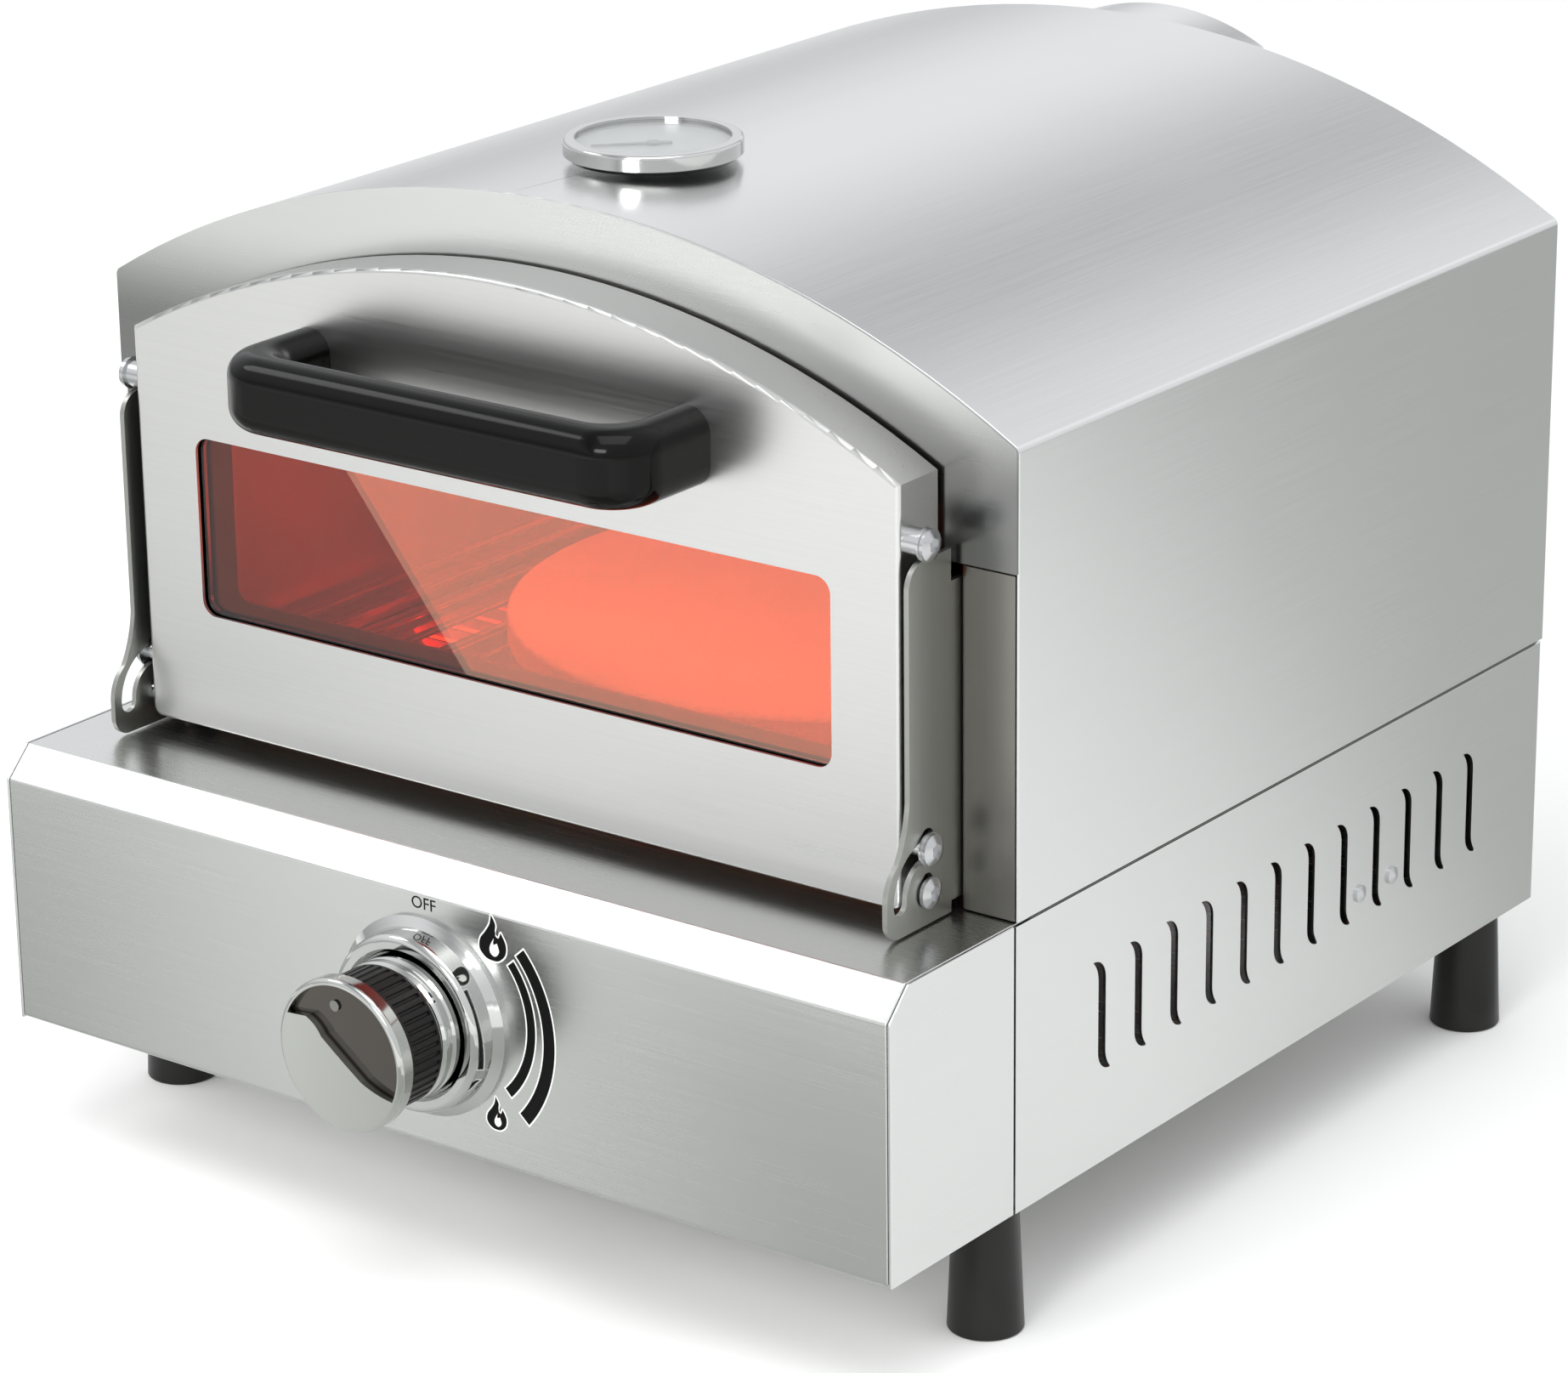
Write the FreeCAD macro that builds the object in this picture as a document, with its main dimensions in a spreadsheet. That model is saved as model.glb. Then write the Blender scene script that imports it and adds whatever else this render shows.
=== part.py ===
"""Countertop gas pizza oven, as a parametric document.

Every size is a cell of the sheet called Dims. Every piece is an object bound to those cells, seated
by one function, and written to parts/ under its own name. Millimetres, +Z up, the front faces -Y,
and the origin is on the table under the middle of the whole oven.
"""

import FreeCAD
import Part

import math
import os
import re

import Sketcher
from FreeCAD import Placement, Rotation, Vector

doc = FreeCAD.newDocument("PizzaOven")

# ---------------------------------------------------------------------------------------------
# Driving dimensions. Fore-and-aft places are measured back from the front face of the hood,
# heights in the hood and door up from the seam between hood and base.
# ---------------------------------------------------------------------------------------------

DIMS = {
    # casing
    "body_width": 400, "hood_depth": 358, "hood_side": 166, "arch_rise": 55.5,
    "base_height": 106, "foot_height": 45, "box_depth": 72, "box_chamfer": 11,
    "sheet": 1.2, "bend": 2.4, "seam": 1, "fit_gap": 0.3,
    "shoulder_round": 3, "panel_return": 16, "panel_lap": 10, "pan_lip": 12,
    # side vents
    "vent_count": 12, "vent_first": 53, "vent_last": 53.1, "vent_up": 55.5,
    "vent_straight": 27, "vent_width": 4.6, "vent_curl": 7.6, "vent_hook": 5.6,
    "back_vent_count": 9, "back_vent_first": -110,
    # front frame and pillars
    "leg_seam": 123.6, "mouth_half": 164, "mouth_side": 138, "mouth_rise": 45,
    "pillar_inner": 176.3, "pillar_recess": 1.6, "pillar_return": 22,
    # cooking chamber
    "liner_sheet": 1, "chamber_front": 3, "chamber_rear_gap": 24, "floor_lift": 3,
    "floor_lip": 8, "rack_height": 22, "rack_wire": 3, "rack_rod": 4.5, "rack_count": 19,
    "rack_side_gap": 4, "weld": 0.6, "rod_inset": 12, "rack_front": 14, "rack_end": 36,
    "rail_width": 14, "rail_drop": 10,
    "stone_dia": 260, "stone_thick": 12, "stone_x": 27, "stone_y": 150, "stone_round": 2,
    # flue
    "flue_half": 38, "flue_low": 154, "flue_tall": 20, "visor_half": 46.5, "visor_rise": 11.5,
    "visor_side": 206, "visor_reach": 37, "visor_flange": 3,
    # burner and gas line
    "burner_x": -122, "burner_drop": 24, "burner_dia": 26, "burner_front": 26,
    "burner_end": 42, "burner_wall": 1.2, "port_dia": 2.4, "port_count": 24, "port_inset": 23,
    "slot_half": 9, "guard_half": 15, "guard_tall": 11, "guard_slot": 4,
    "guard_count": 20, "mixer_bell": 19, "mixer_throat": 8, "mixer_front": -26,
    "mixer_lap": 10, "port_spread": 5, "jet_bore": 0.8, "jet_long": 9, "inlet_bore": 3,
    "valve_back": 22, "collar_radius": 8.5, "collar_thick": 3,
    "jet_hex": 6, "jet_y": -36, "pipe_dia": 8, "pipe_wall": 1, "pipe_bend": 16, "jet_bend": 9,
    "inlet_x": 120, "inlet_radius": 7.9, "inlet_thread": 14, "inlet_inside": 16,
    "lead_dia": 3, "electrode_dia": 7, "electrode_long": 26, "electrode_y": 44,
    # knob and valve
    "knob_up": 50, "knob_reach": 46, "knob_radius": 28, "cap_deep": 8, "grip_radius": 25.4,
    "grip_ribs": 44, "grip_deep": 17, "skirt_radius": 25.6, "bezel_radius": 37,
    "bezel_body": 33.5, "bezel_deep": 12, "knob_press": 4, "stem_dia": 8, "valve_half": 14,
    "scoop_deep": 3.6, "scoop_rim": 2.2, "knob_gap": 1, "rib_groove": 0.8,
    # door
    "door_half": 170, "door_low": 6, "door_side": 155, "door_rise": 43, "door_thick": 22,
    "door_gap": 2, "door_corner": 4, "door_edge": 1.6, "inner_deep": 8, "window_half": 142,
    "window_low": 50.6, "window_tall": 67.5, "window_corner": 6, "glass_lap": 9,
    "glass_thick": 4, "glass_gap": 0.8, "retainer_lap": 15, "retainer_thick": 1.5,
    # handle
    "handle_half": 93, "handle_up": 154, "handle_tall": 28, "handle_deep": 18,
    "handle_reach": 46, "handle_corner": 20, "handle_round": 8.6, "screw_shank": 4,
    "screw_depth": 12, "screw_inside": 8,
    # door brackets and their screws
    "plate_x": 174, "plate_thick": 2, "plate_top": 129.3, "plate_front": 27, "plate_back": 3,
    "plate_low": 0.8, "plate_tip": 40, "tab_back": 15, "tab_low": 5, "tab_top": 118,
    "tab_screw": 36, "pivot_y": -17, "pivot_up": 12.5, "guide_radius": 15.5, "lift": 3.5,
    "slot_width": 7.4, "pin_gap": 0.08, "sleeve_dia": 6.4, "head_dia": 11, "head_tall": 2.6,
    "washer_dia": 12, "washer_thick": 0.8, "washer_gap": 0.6, "nut_radius": 5,
    "pivot_play": 1.5, "plate_round": 9, "socket_half": 2.7, "socket_deep": 1.8,
    "clamp_shank": 3.8, "clamp_long": 6, "clamp_head": 2, "post_y": -18, "post_up": 134.9,
    "post_dia": 10,
    # feet
    "foot_dia": 27, "foot_top_dia": 23, "foot_x": 188, "foot_front": 0, "foot_rear": 30,
    "foot_bore": 4.3, "foot_screw": 4, "foot_screw_long": 16,
    # thermometer
    "gauge_y": 66, "gauge_radius": 32, "gauge_deep": 7, "gauge_hub": 1.8, "gauge_rim": 3,
    "gauge_stem": 6, "gauge_probe": 62, "gauge_boss": 9, "pointer_long": 22, "pointer_pin": 1,
}

sheet = doc.addObject("Spreadsheet::Sheet", "Dims")
for row, (alias, size) in enumerate(DIMS.items(), start=1):
    sheet.set(f"A{row}", alias)
    sheet.set(f"B{row}", str(size))
    sheet.setAlias(f"B{row}", alias)
doc.recompute()

# Named places, as expressions of the sheet's cells.
HALF = "(body_width / 2)"
DECK = "(foot_height + base_height)"
SHOULDER = f"({DECK} + hood_side)"
APEX = f"({SHOULDER} + arch_rise)"
PANEL = "(-box_depth)"
KNOB_Z = "(foot_height + knob_up)"
REAR = "(hood_depth + visor_reach)"
MIDDLE = f"(({REAR} - box_depth - knob_reach) / 2)"
CHAMBER_BACK = "(hood_depth - chamber_rear_gap)"
BURNER_BACK = "(hood_depth - burner_end)"
RACK_BACK = "(hood_depth - rack_end)"
FOOT_BACK = "(hood_depth - foot_rear)"
VENT_PITCH = "((hood_depth - vent_first - vent_last) / (vent_count - 1))"
RACK = f"({DECK} + rack_height)"
STONE = f"({RACK} + fit_gap + rack_rod + rack_wire - weld)"
BURNER_Z = f"({DECK} - burner_drop)"
DOOR_FACE = "(-door_gap - door_thick)"
DOOR_BACK = "(-door_gap)"
PIVOT_Z = f"({DECK} + pivot_up)"
PAN_Z = "(foot_height + sheet + fit_gap)"
FLOOR_Z = f"({DECK} + floor_lift)"
CLAMP_Y = (f"vent_first + 7.5 * {VENT_PITCH}", f"vent_first + 8.5 * {VENT_PITCH}")
CLAMP_Z = "(foot_height + vent_up - 11)"


# ---------------------------------------------------------------------------------------------
# Helpers
# ---------------------------------------------------------------------------------------------

def bound(expression):
    """The expression with each cell's alias written as the document knows it."""
    return re.sub(r"[a-z][a-z_]*", lambda word: "Dims." + word.group() if word.group() in DIMS
                  else word.group(), expression)


def value(expression):
    """What an expression comes to now, as a plain number."""
    return float(sheet.evalExpression(bound(expression)))


def new_body(label):
    """An empty PartDesign body."""
    body = doc.addObject("PartDesign::Body", label)
    body.Label = label
    body.AllowCompound = True
    return body


def sketch(body, plane, offset):
    """A sketch on one of the body's origin planes, moved along the plane's normal."""
    made = body.newObject("Sketcher::SketchObject", body.Label + "_sketch")
    role = plane + "_Plane"
    support = [item for item in body.Origin.OriginFeatures if item.Role == role]
    made.AttachmentSupport = [(support[0], "")]
    made.MapMode = "FlatFace"
    made.setExpression("AttachmentOffset.Base.z", bound(offset))
    return made


def constrain(made, kind, *where, size):
    """A driving constraint bound to an expression."""
    index = made.addConstraint(Sketcher.Constraint(kind, *where, value(size)))
    made.setExpression(f"Constraints[{index}]", bound(size))


def pin(made, shape, end, across, up):
    """Fix one end of a line or arc, or a centre, at a named place."""
    constrain(made, "DistanceX", -1, 1, shape, end, size=across)
    constrain(made, "DistanceY", -1, 1, shape, end, size=up)


def arc_through(start, end, radius):
    """The shorter arc between two points: a positive radius bulges to the right of the way."""
    chord = end - start
    left = Vector(-chord.y, chord.x, 0).normalize()
    rise = math.sqrt(radius ** 2 - (chord.Length / 2) ** 2)
    side = 1 if radius > 0 else -1
    centre = (start + end) / 2 + left * (rise * side)
    first, last = (start, end) if radius > 0 else (end, start)
    turn_a = math.atan2(first.y - centre.y, first.x - centre.x)
    turn_b = math.atan2(last.y - centre.y, last.x - centre.x)
    circle = Part.Circle(centre, Vector(0, 0, 1), abs(radius))
    return Part.ArcOfCircle(circle, turn_a, turn_b)


def outline(made, points):
    """A closed outline, anticlockwise. A point with a third value starts an arc of that radius,
    which bulges outwards, or inwards where the radius is negative."""
    places = [Vector(value(point[0]), value(point[1]), 0) for point in points]
    first = made.GeometryCount
    ends = []
    for index, point in enumerate(points):
        start, end = places[index], places[(index + 1) % len(points)]
        if len(point) == 2:
            made.addGeometry(Part.LineSegment(start, end), False)
            ends.append((1, 2))
            continue
        radius = value(point[2])
        made.addGeometry(arc_through(start, end, radius), False)
        ends.append((1, 2) if radius > 0 else (2, 1))
    for index, point in enumerate(points):
        before = (index - 1) % len(points)
        made.addConstraint(Sketcher.Constraint("Coincident", first + before, ends[before][1],
                                               first + index, ends[index][0]))
        pin(made, first + index, ends[index][0], point[0], point[1])
        if len(point) == 3:
            constrain(made, "Radius", first + index, size=f"abs({point[2]})")


def box_outline(made, left, right, low, high):
    """A rectangle."""
    outline(made, [(left, low), (right, low), (right, high), (left, high)])


def circle(made, across, up, radius):
    """A full circle."""
    centre = Vector(value(across), value(up), 0)
    shape = made.addGeometry(Part.Circle(centre, Vector(0, 0, 1), value(radius)), False)
    pin(made, shape, 3, across, up)
    constrain(made, "Radius", shape, size=radius)


def arch(made, half, low, side, rise, inset=None):
    """A flat-sided outline with an arc for its top: the solid, or with inset its sheet only."""
    radius = f"((({half})^2 + ({rise})^2) / (2 * ({rise})))"
    outer = [(half, low), (half, side, radius), (f"-({half})", side), (f"-({half})", low)]
    if inset is None:
        outline(made, outer)
        return
    inner_half = f"(({half}) - ({inset}))"
    inner_radius = f"({radius} - ({inset}))"
    inner_side = (f"(({side}) + ({rise}) - {radius} + "
                  f"sqrt({inner_radius}^2 - {inner_half}^2))")
    outline(made, outer + [(f"-{inner_half}", low), (f"-{inner_half}", inner_side,
                                                     f"-{inner_radius}"),
                           (inner_half, inner_side), (inner_half, low)])


def pad(body, plane, low, high, draw):
    """Add material between two places along the plane's axis."""
    made = sketch(body, plane, f"-({high})" if plane == "XZ" else low)
    draw(made)
    feature = body.newObject("PartDesign::Pad", body.Label + "_pad")
    feature.Profile = made
    feature.setExpression("Length", bound(f"({high}) - ({low})"))
    made.Visibility = False
    doc.recompute()
    return feature


def cut(body, plane, low, high, draw):
    """Take material away between two places along the plane's axis."""
    before = body.Shape.Volume
    made = sketch(body, plane, f"-({low})" if plane == "XZ" else high)
    draw(made)
    feature = body.newObject("PartDesign::Pocket", body.Label + "_pocket")
    feature.Profile = made
    feature.setExpression("Length", bound(f"({high}) - ({low})"))
    made.Visibility = False
    doc.recompute()
    if not body.Shape.Volume < before:
        raise RuntimeError(f"{body.Label}: a cut took nothing away")
    return feature


def row(body, feature, axis, count, pitch):
    """Repeat a feature in a straight row along its own sketch's axis."""
    pattern = body.newObject("PartDesign::LinearPattern", body.Label + "_row")
    pattern.Originals = [feature]
    pattern.Direction = (feature.Profile[0], [axis])
    pattern.setExpression("Length", bound(f"({count} - 1) * {pitch}"))
    pattern.setExpression("Occurrences", bound(count))
    body.Tip = pattern
    doc.recompute()


def soften(body, radius, keep):
    """Round the edges that the test picks out of the body's present shape."""
    base = body.Tip
    names = [f"Edge{index}" for index, edge in enumerate(base.Shape.Edges, start=1) if keep(edge)]
    if not names:
        raise RuntimeError(f"{body.Label}: no edge to round")
    feature = body.newObject("PartDesign::Fillet", body.Label + "_round")
    feature.Base = (base, names)
    feature.setExpression("Radius", bound(radius))
    doc.recompute()


def runs_along(axis, places):
    """A test for straight edges along one axis that pass near the places given for the others."""
    spots = [[None if spot is None else value(spot) for spot in place] for place in places]

    def test(edge):
        if len(edge.Vertexes) != 2 or edge.Curve.TypeId != "Part::GeomLine":
            return False
        way = edge.Vertexes[1].Point - edge.Vertexes[0].Point
        if abs(abs(way[axis]) - way.Length) > 1e-6:
            return False
        middle = edge.CenterOfMass
        return any(all(spot is None or abs(middle[index] - spot) < 0.02
                       for index, spot in enumerate(place)) for place in spots)

    return test


def seat(item, across="0", back="0", up="0", turn=None):
    """Place a finished piece: sideways, back from the hood's front face, and up."""
    if turn is not None:
        item.Placement = Placement(Vector(0, 0, 0), turn)
    item.setExpression("Placement.Base.x", bound(across))
    item.setExpression("Placement.Base.y", bound(f"{back} - {MIDDLE}"))
    item.setExpression("Placement.Base.z", bound(up))
    return item


FACING = {"+X": Rotation(Vector(0, 0, 1), Vector(1, 0, 0)),
          "-X": Rotation(Vector(0, 0, 1), Vector(-1, 0, 0)),
          "+Y": Rotation(Vector(0, 0, 1), Vector(0, 1, 0)),
          "-Y": Rotation(Vector(0, 0, 1), Vector(0, -1, 0)),
          "+Z": Rotation(), "-Z": Rotation(Vector(1, 0, 0), 180)}


def turned(label, profile):
    """A lathe-turned piece about its own Z axis, from (radius, height) points."""
    body = new_body(label)
    made = sketch(body, "XZ", "0")
    outline(made, profile)
    feature = body.newObject("PartDesign::Revolution", label + "_turn")
    feature.Profile = made
    feature.ReferenceAxis = (made, ["V_Axis"])
    feature.Angle = 360
    made.Visibility = False
    doc.recompute()
    return body


def dome(radius, rim, rise):
    """The last two points of a turned profile that ends in a dome centred on the axis."""
    return [(radius, rim, f"((({radius})^2 + ({rise})^2) / (2 * ({rise})))"),
            ("0", f"{rim} + {rise}")]


def group(label, master, places):
    """One node of several alike pieces: a link to the master at each place, joined in a list."""
    links = []
    for across, back, up, facing in places:
        link = doc.addObject("App::Link", label + "_link")
        link.LinkedObject = master
        link.LinkTransform = False
        link.Placement = Placement(Vector(0, 0, 0), FACING[facing])
        link.setExpression("Placement.Base.x", bound(across))
        link.setExpression("Placement.Base.y", bound(back))
        link.setExpression("Placement.Base.z", bound(up))
        links.append(link)
    gathered = doc.addObject("Part::Compound", label)
    gathered.Label = label
    gathered.Links = links
    return gathered


def bent_tube(label, corners, radius, outer, inner=None):
    """A tube along straight runs joined by tangent arcs; a solid rod where inner is not given."""
    stops = [Vector(*(value(part) for part in corner)) for corner in corners]
    bend_radius = value(radius)
    edges, start = [], stops[0]
    for before, corner, after in zip(stops, stops[1:], stops[2:]):
        way_in, way_out = (corner - before).normalize(), (after - corner).normalize()
        half_turn = way_in.getAngle(way_out) / 2
        setback = bend_radius * math.tan(half_turn)
        inward = (way_out - way_in).normalize()
        centre = corner + inward * (bend_radius / math.cos(half_turn))
        first, last = corner - way_in * setback, corner + way_out * setback
        edges.append(Part.LineSegment(start, first).toShape())
        edges.append(Part.Arc(first, centre - inward * bend_radius, last).toShape())
        start = last
    edges.append(Part.LineSegment(start, stops[-1]).toShape())
    path = Part.Wire(edges)
    solids = []
    for size in (outer, inner):
        if size is None:
            continue
        ring = Part.makeCircle(value(size), stops[0], stops[1] - stops[0])
        solids.append(path.makePipeShell([Part.Wire(ring)], True, True))
    piece = doc.addObject("Part::Feature", label)
    piece.Label = label
    piece.Shape = solids[0] if inner is None else solids[0].cut(solids[1])
    return piece


parts = []


def keep(item, **place):
    """Seat a finished piece and list it for writing."""
    seat(item, **place)
    parts.append(item)
    return item


SIDES = {"left": "-1", "right": "1"}


def arch_inside(half, side, rise, inset):
    """Half width, shoulder height and rise of the outline that lies inset within an arch."""
    radius = f"((({half})^2 + ({rise})^2) / (2 * ({rise})))"
    inner = f"(({half}) - ({inset}))"
    inner_side = f"(({side}) + ({rise}) - {radius} + sqrt(({radius} - ({inset}))^2 - {inner}^2))"
    return inner, inner_side, f"(({side}) + ({rise}) - ({inset}) - {inner_side})"


def shoulders(half, side):
    """A test for the two edges along Y where an arch meets its sides."""
    return runs_along(1, [(half, None, side), (f"-({half})", None, side)])


# ---------------------------------------------------------------------------------------------
# Casing: base, control box, hood
# ---------------------------------------------------------------------------------------------

def curled_slot(made, along, middle):
    """A vertical vent slot whose pointed ends curl forward at the top and back at the bottom."""
    half = "(vent_width / 2)"
    top, bottom = f"({middle} + vent_straight / 2)", f"({middle} - vent_straight / 2)"
    outer = f"(((vent_hook + {half})^2 + vent_curl^2) / (2 * (vent_hook + {half})))"
    inner = f"(((vent_hook - {half})^2 + vent_curl^2) / (2 * (vent_hook - {half})))"
    outline(made, [(f"{along} + {half}", bottom), (f"{along} + {half}", top, outer),
                   (f"{along} - vent_hook", f"{top} + vent_curl", f"-{inner}"),
                   (f"{along} - {half}", top), (f"{along} - {half}", bottom, outer),
                   (f"{along} + vent_hook", f"{bottom} - vent_curl", f"-{inner}")])


def base_shell():
    """Both sides and the back of the base, one sheet bent round two corners."""
    body = new_body("base_shell")
    inner, back = f"({HALF} - sheet)", "(hood_depth - sheet)"
    pad(body, "XY", "foot_height", f"{DECK} - seam / 2", lambda made: outline(made, [
        (HALF, "seam / 2"), (HALF, "hood_depth"), (f"-{HALF}", "hood_depth"),
        (f"-{HALF}", "seam / 2"), (f"-{inner}", "seam / 2"), (f"-{inner}", back),
        (inner, back), (inner, "seam / 2")]))
    soften(body, "bend", runs_along(2, [(HALF, "hood_depth", None),
                                        (f"-{HALF}", "hood_depth", None)]))
    soften(body, "bend - sheet", runs_along(2, [(inner, back, None), (f"-{inner}", back, None)]))
    middle = "(foot_height + vent_up)"
    slot = cut(body, "YZ", f"-{HALF} - 1", f"{HALF} + 1",
               lambda made: curled_slot(made, "vent_first", middle))
    row(body, slot, "H_Axis", "vent_count", VENT_PITCH)
    behind = cut(body, "XZ", f"{back} - 1", "hood_depth + 1", lambda made: box_outline(
        made, "back_vent_first", "back_vent_first + vent_width",
        f"{middle} - vent_straight / 2", f"{middle} + vent_straight / 2"))
    row(body, behind, "H_Axis", "back_vent_count", VENT_PITCH)
    cut(body, "XZ", f"{back} - 1", "hood_depth + 1", lambda made: circle(
        made, "inlet_x", KNOB_Z, "inlet_radius + seam"))
    for back_place in CLAMP_Y:
        cut(body, "YZ", f"-{HALF} - 1", f"{HALF} + 1", lambda made: circle(
            made, back_place, CLAMP_Z, "clamp_shank / 2 + pin_gap"))
    keep(body)


def base_pan():
    """The tray that closes the base and carries the feet."""
    body = new_body("base_pan")
    half, front = f"({HALF} - sheet - fit_gap)", f"({PANEL} + sheet + bend)"
    back = "(hood_depth - sheet - fit_gap)"
    pad(body, "XY", PAN_Z, f"{PAN_Z} + pan_lip",
        lambda made: box_outline(made, f"-{half}", half, front, back))
    corners = [(half, back, None), (f"-{half}", back, None)]
    soften(body, "bend", runs_along(2, corners))
    cut(body, "XY", f"{PAN_Z} + sheet", f"{PAN_Z} + pan_lip + 1", lambda made: box_outline(
        made, f"-{half} + bend", f"{half} - bend", f"{front} + sheet", f"{back} - bend"))
    for side in SIDES.values():
        for back_place in ("foot_front", FOOT_BACK):
            cut(body, "XY", f"{PAN_Z} - 1", f"{PAN_Z} + sheet + 1", lambda made: circle(
                made, f"{side} * foot_x", back_place, "foot_bore / 2"))
    keep(body)


def control_panel():
    """The front of the control box: a return, the face, a chamfer and the top, one folded sheet."""
    body = new_body("control_panel")
    wide = f"({HALF} - sheet - fit_gap)"
    low, top = "foot_height", DECK
    turn = "sheet * tan(22.5)"
    pad(body, "YZ", f"-{wide}", wide, lambda made: outline(made, [
        (f"{PANEL} + panel_return", low), (f"{PANEL} + panel_return", f"{low} + sheet"),
        (f"{PANEL} + sheet", f"{low} + sheet"),
        (f"{PANEL} + sheet", f"{top} - box_chamfer - {turn}"),
        (f"{PANEL} + box_chamfer + {turn}", f"{top} - sheet"),
        ("panel_lap", f"{top} - sheet"), ("panel_lap", top),
        (f"{PANEL} + box_chamfer", top), (PANEL, f"{top} - box_chamfer"), (PANEL, low)]))
    soften(body, "bend", runs_along(0, [(None, PANEL, low)]))
    soften(body, "bend - sheet", runs_along(0, [(None, f"{PANEL} + sheet", f"{low} + sheet")]))
    soften(body, "bend / 2", runs_along(0, [(None, PANEL, f"{top} - box_chamfer"),
                                            (None, f"{PANEL} + box_chamfer", top)]))
    cut(body, "XZ", f"{PANEL} - 1", f"{PANEL} + sheet + 1",
        lambda made: circle(made, "0", KNOB_Z, "stem_dia / 2 + 1.5"))
    keep(body)


def control_end(name, side):
    """One end cap of the control box, outside the folded panel."""
    body = new_body(f"control_end_{name}")
    low, high = (f"-{HALF}", f"-{HALF} + sheet") if side == "-1" else (f"{HALF} - sheet", HALF)
    pad(body, "YZ", low, high, lambda made: outline(made, [
        (PANEL, "foot_height"), ("-seam / 2", "foot_height"), ("-seam / 2", DECK),
        (f"{PANEL} + box_chamfer", DECK), (PANEL, f"{DECK} - box_chamfer")]))
    soften(body, "sheet / 3", lambda edge: abs(abs(edge.CenterOfMass.x) - value(HALF)) < 0.01)
    keep(body)


def burner_deck():
    """The plate between base and hood, slotted over the burner."""
    body = new_body("burner_deck")
    half, back = f"({HALF} - sheet - fit_gap)", "(hood_depth - sheet - fit_gap)"
    pad(body, "XY", f"{DECK} - sheet", DECK, lambda made: box_outline(
        made, f"-{half}", half, "panel_lap + fit_gap", back))
    soften(body, "bend", runs_along(2, [(half, back, None), (f"-{half}", back, None)]))
    cut(body, "XY", f"{DECK} - sheet - 1", f"{DECK} + 1", burner_slot)
    keep(body)


def burner_slot(made):
    """The long opening above the burner's ports."""
    box_outline(made, "burner_x - slot_half", "burner_x + slot_half",
                "burner_front + slot_half", f"{BURNER_BACK} - slot_half")


def hood_shell():
    """Sides and arched top of the hood, one rolled sheet."""
    body = new_body("hood_shell")
    pad(body, "XZ", "sheet + fit_gap", "hood_depth", lambda made: arch(
        made, HALF, f"{DECK} + seam / 2", SHOULDER, "arch_rise", "sheet"))
    soften(body, "shoulder_round", shoulders(HALF, SHOULDER))
    cut(body, "XY", f"{SHOULDER}", f"{APEX} + 1",
        lambda made: circle(made, "0", "gauge_y", "gauge_stem / 2 + seam"))
    keep(body)


def front_frame():
    """The flat arched band round the oven's mouth."""
    body = new_body("front_frame")
    hood_radius = f"(({HALF}^2 + arch_rise^2) / (2 * arch_rise))"
    mouth_radius = "((mouth_half^2 + mouth_rise^2) / (2 * mouth_rise))"
    leg, side = f"({DECK} + leg_seam)", f"({DECK} + mouth_side)"
    pad(body, "XZ", "0", "sheet", lambda made: outline(made, [
        (HALF, leg), (HALF, SHOULDER, hood_radius), (f"-{HALF}", SHOULDER), (f"-{HALF}", leg),
        ("-mouth_half", leg), ("-mouth_half", side, f"-{mouth_radius}"), ("mouth_half", side),
        ("mouth_half", leg)]))
    soften(body, "shoulder_round", shoulders(HALF, SHOULDER))
    keep(body)


def pillar(name, side):
    """The recessed strip under one leg of the frame, bent back beside the mouth."""
    body = new_body(f"pillar_{name}")
    front, inner = "pillar_recess", "pillar_inner"
    outer = f"({HALF} - sheet - fit_gap)"
    pad(body, "XY", f"{DECK} + seam / 2", f"{DECK} + leg_seam - seam",
        lambda made: outline(made, [
            (f"{side} * {inner}", front), (f"{side} * {outer}", front),
            (f"{side} * {outer}", f"{front} + sheet"),
            (f"{side} * ({inner} + sheet)", f"{front} + sheet"),
            (f"{side} * ({inner} + sheet)", f"{front} + pillar_return"),
            (f"{side} * {inner}", f"{front} + pillar_return")]))
    soften(body, "bend", runs_along(2, [(f"{side} * {inner}", front, None)]))
    soften(body, "bend - sheet", runs_along(2, [
        (f"{side} * ({inner} + sheet)", f"{front} + sheet", None)]))
    tab_holes(body, side)
    keep(body)


def hood_back():
    """The back of the hood, inside the rolled sheet, with the flue opening."""
    body = new_body("hood_back")
    half, side, rise = arch_inside(HALF, SHOULDER, "arch_rise", "sheet + fit_gap")
    pad(body, "XZ", "hood_depth - sheet", "hood_depth",
        lambda made: arch(made, half, f"{DECK} + seam", side, rise))
    cut(body, "XZ", "hood_depth - sheet - 1", "hood_depth + 1", flue_outline)
    keep(body)


def flue_outline(made):
    """The flue's clear opening."""
    box_outline(made, "-flue_half", "flue_half", f"{DECK} + flue_low",
                f"{DECK} + flue_low + flue_tall")


def flue_visor():
    """The arched cowl over the flue outlet, with a flange against the back."""
    body = new_body("flue_visor")
    radius = "((visor_half^2 + visor_rise^2) / (2 * visor_rise))"
    top = f"({DECK} + visor_side)"

    def strip(made, low, high):
        outline(made, [("visor_half", low), ("visor_half", high, radius), ("-visor_half", high),
                       ("-visor_half", low, f"-{radius}")])

    pad(body, "XZ", "hood_depth", REAR, lambda made: strip(made, f"{top} - sheet", top))
    pad(body, "XZ", "hood_depth", "hood_depth + sheet",
        lambda made: strip(made, top, f"{top} + visor_flange"))
    keep(body)


# ---------------------------------------------------------------------------------------------
# Cooking chamber
# ---------------------------------------------------------------------------------------------

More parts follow.
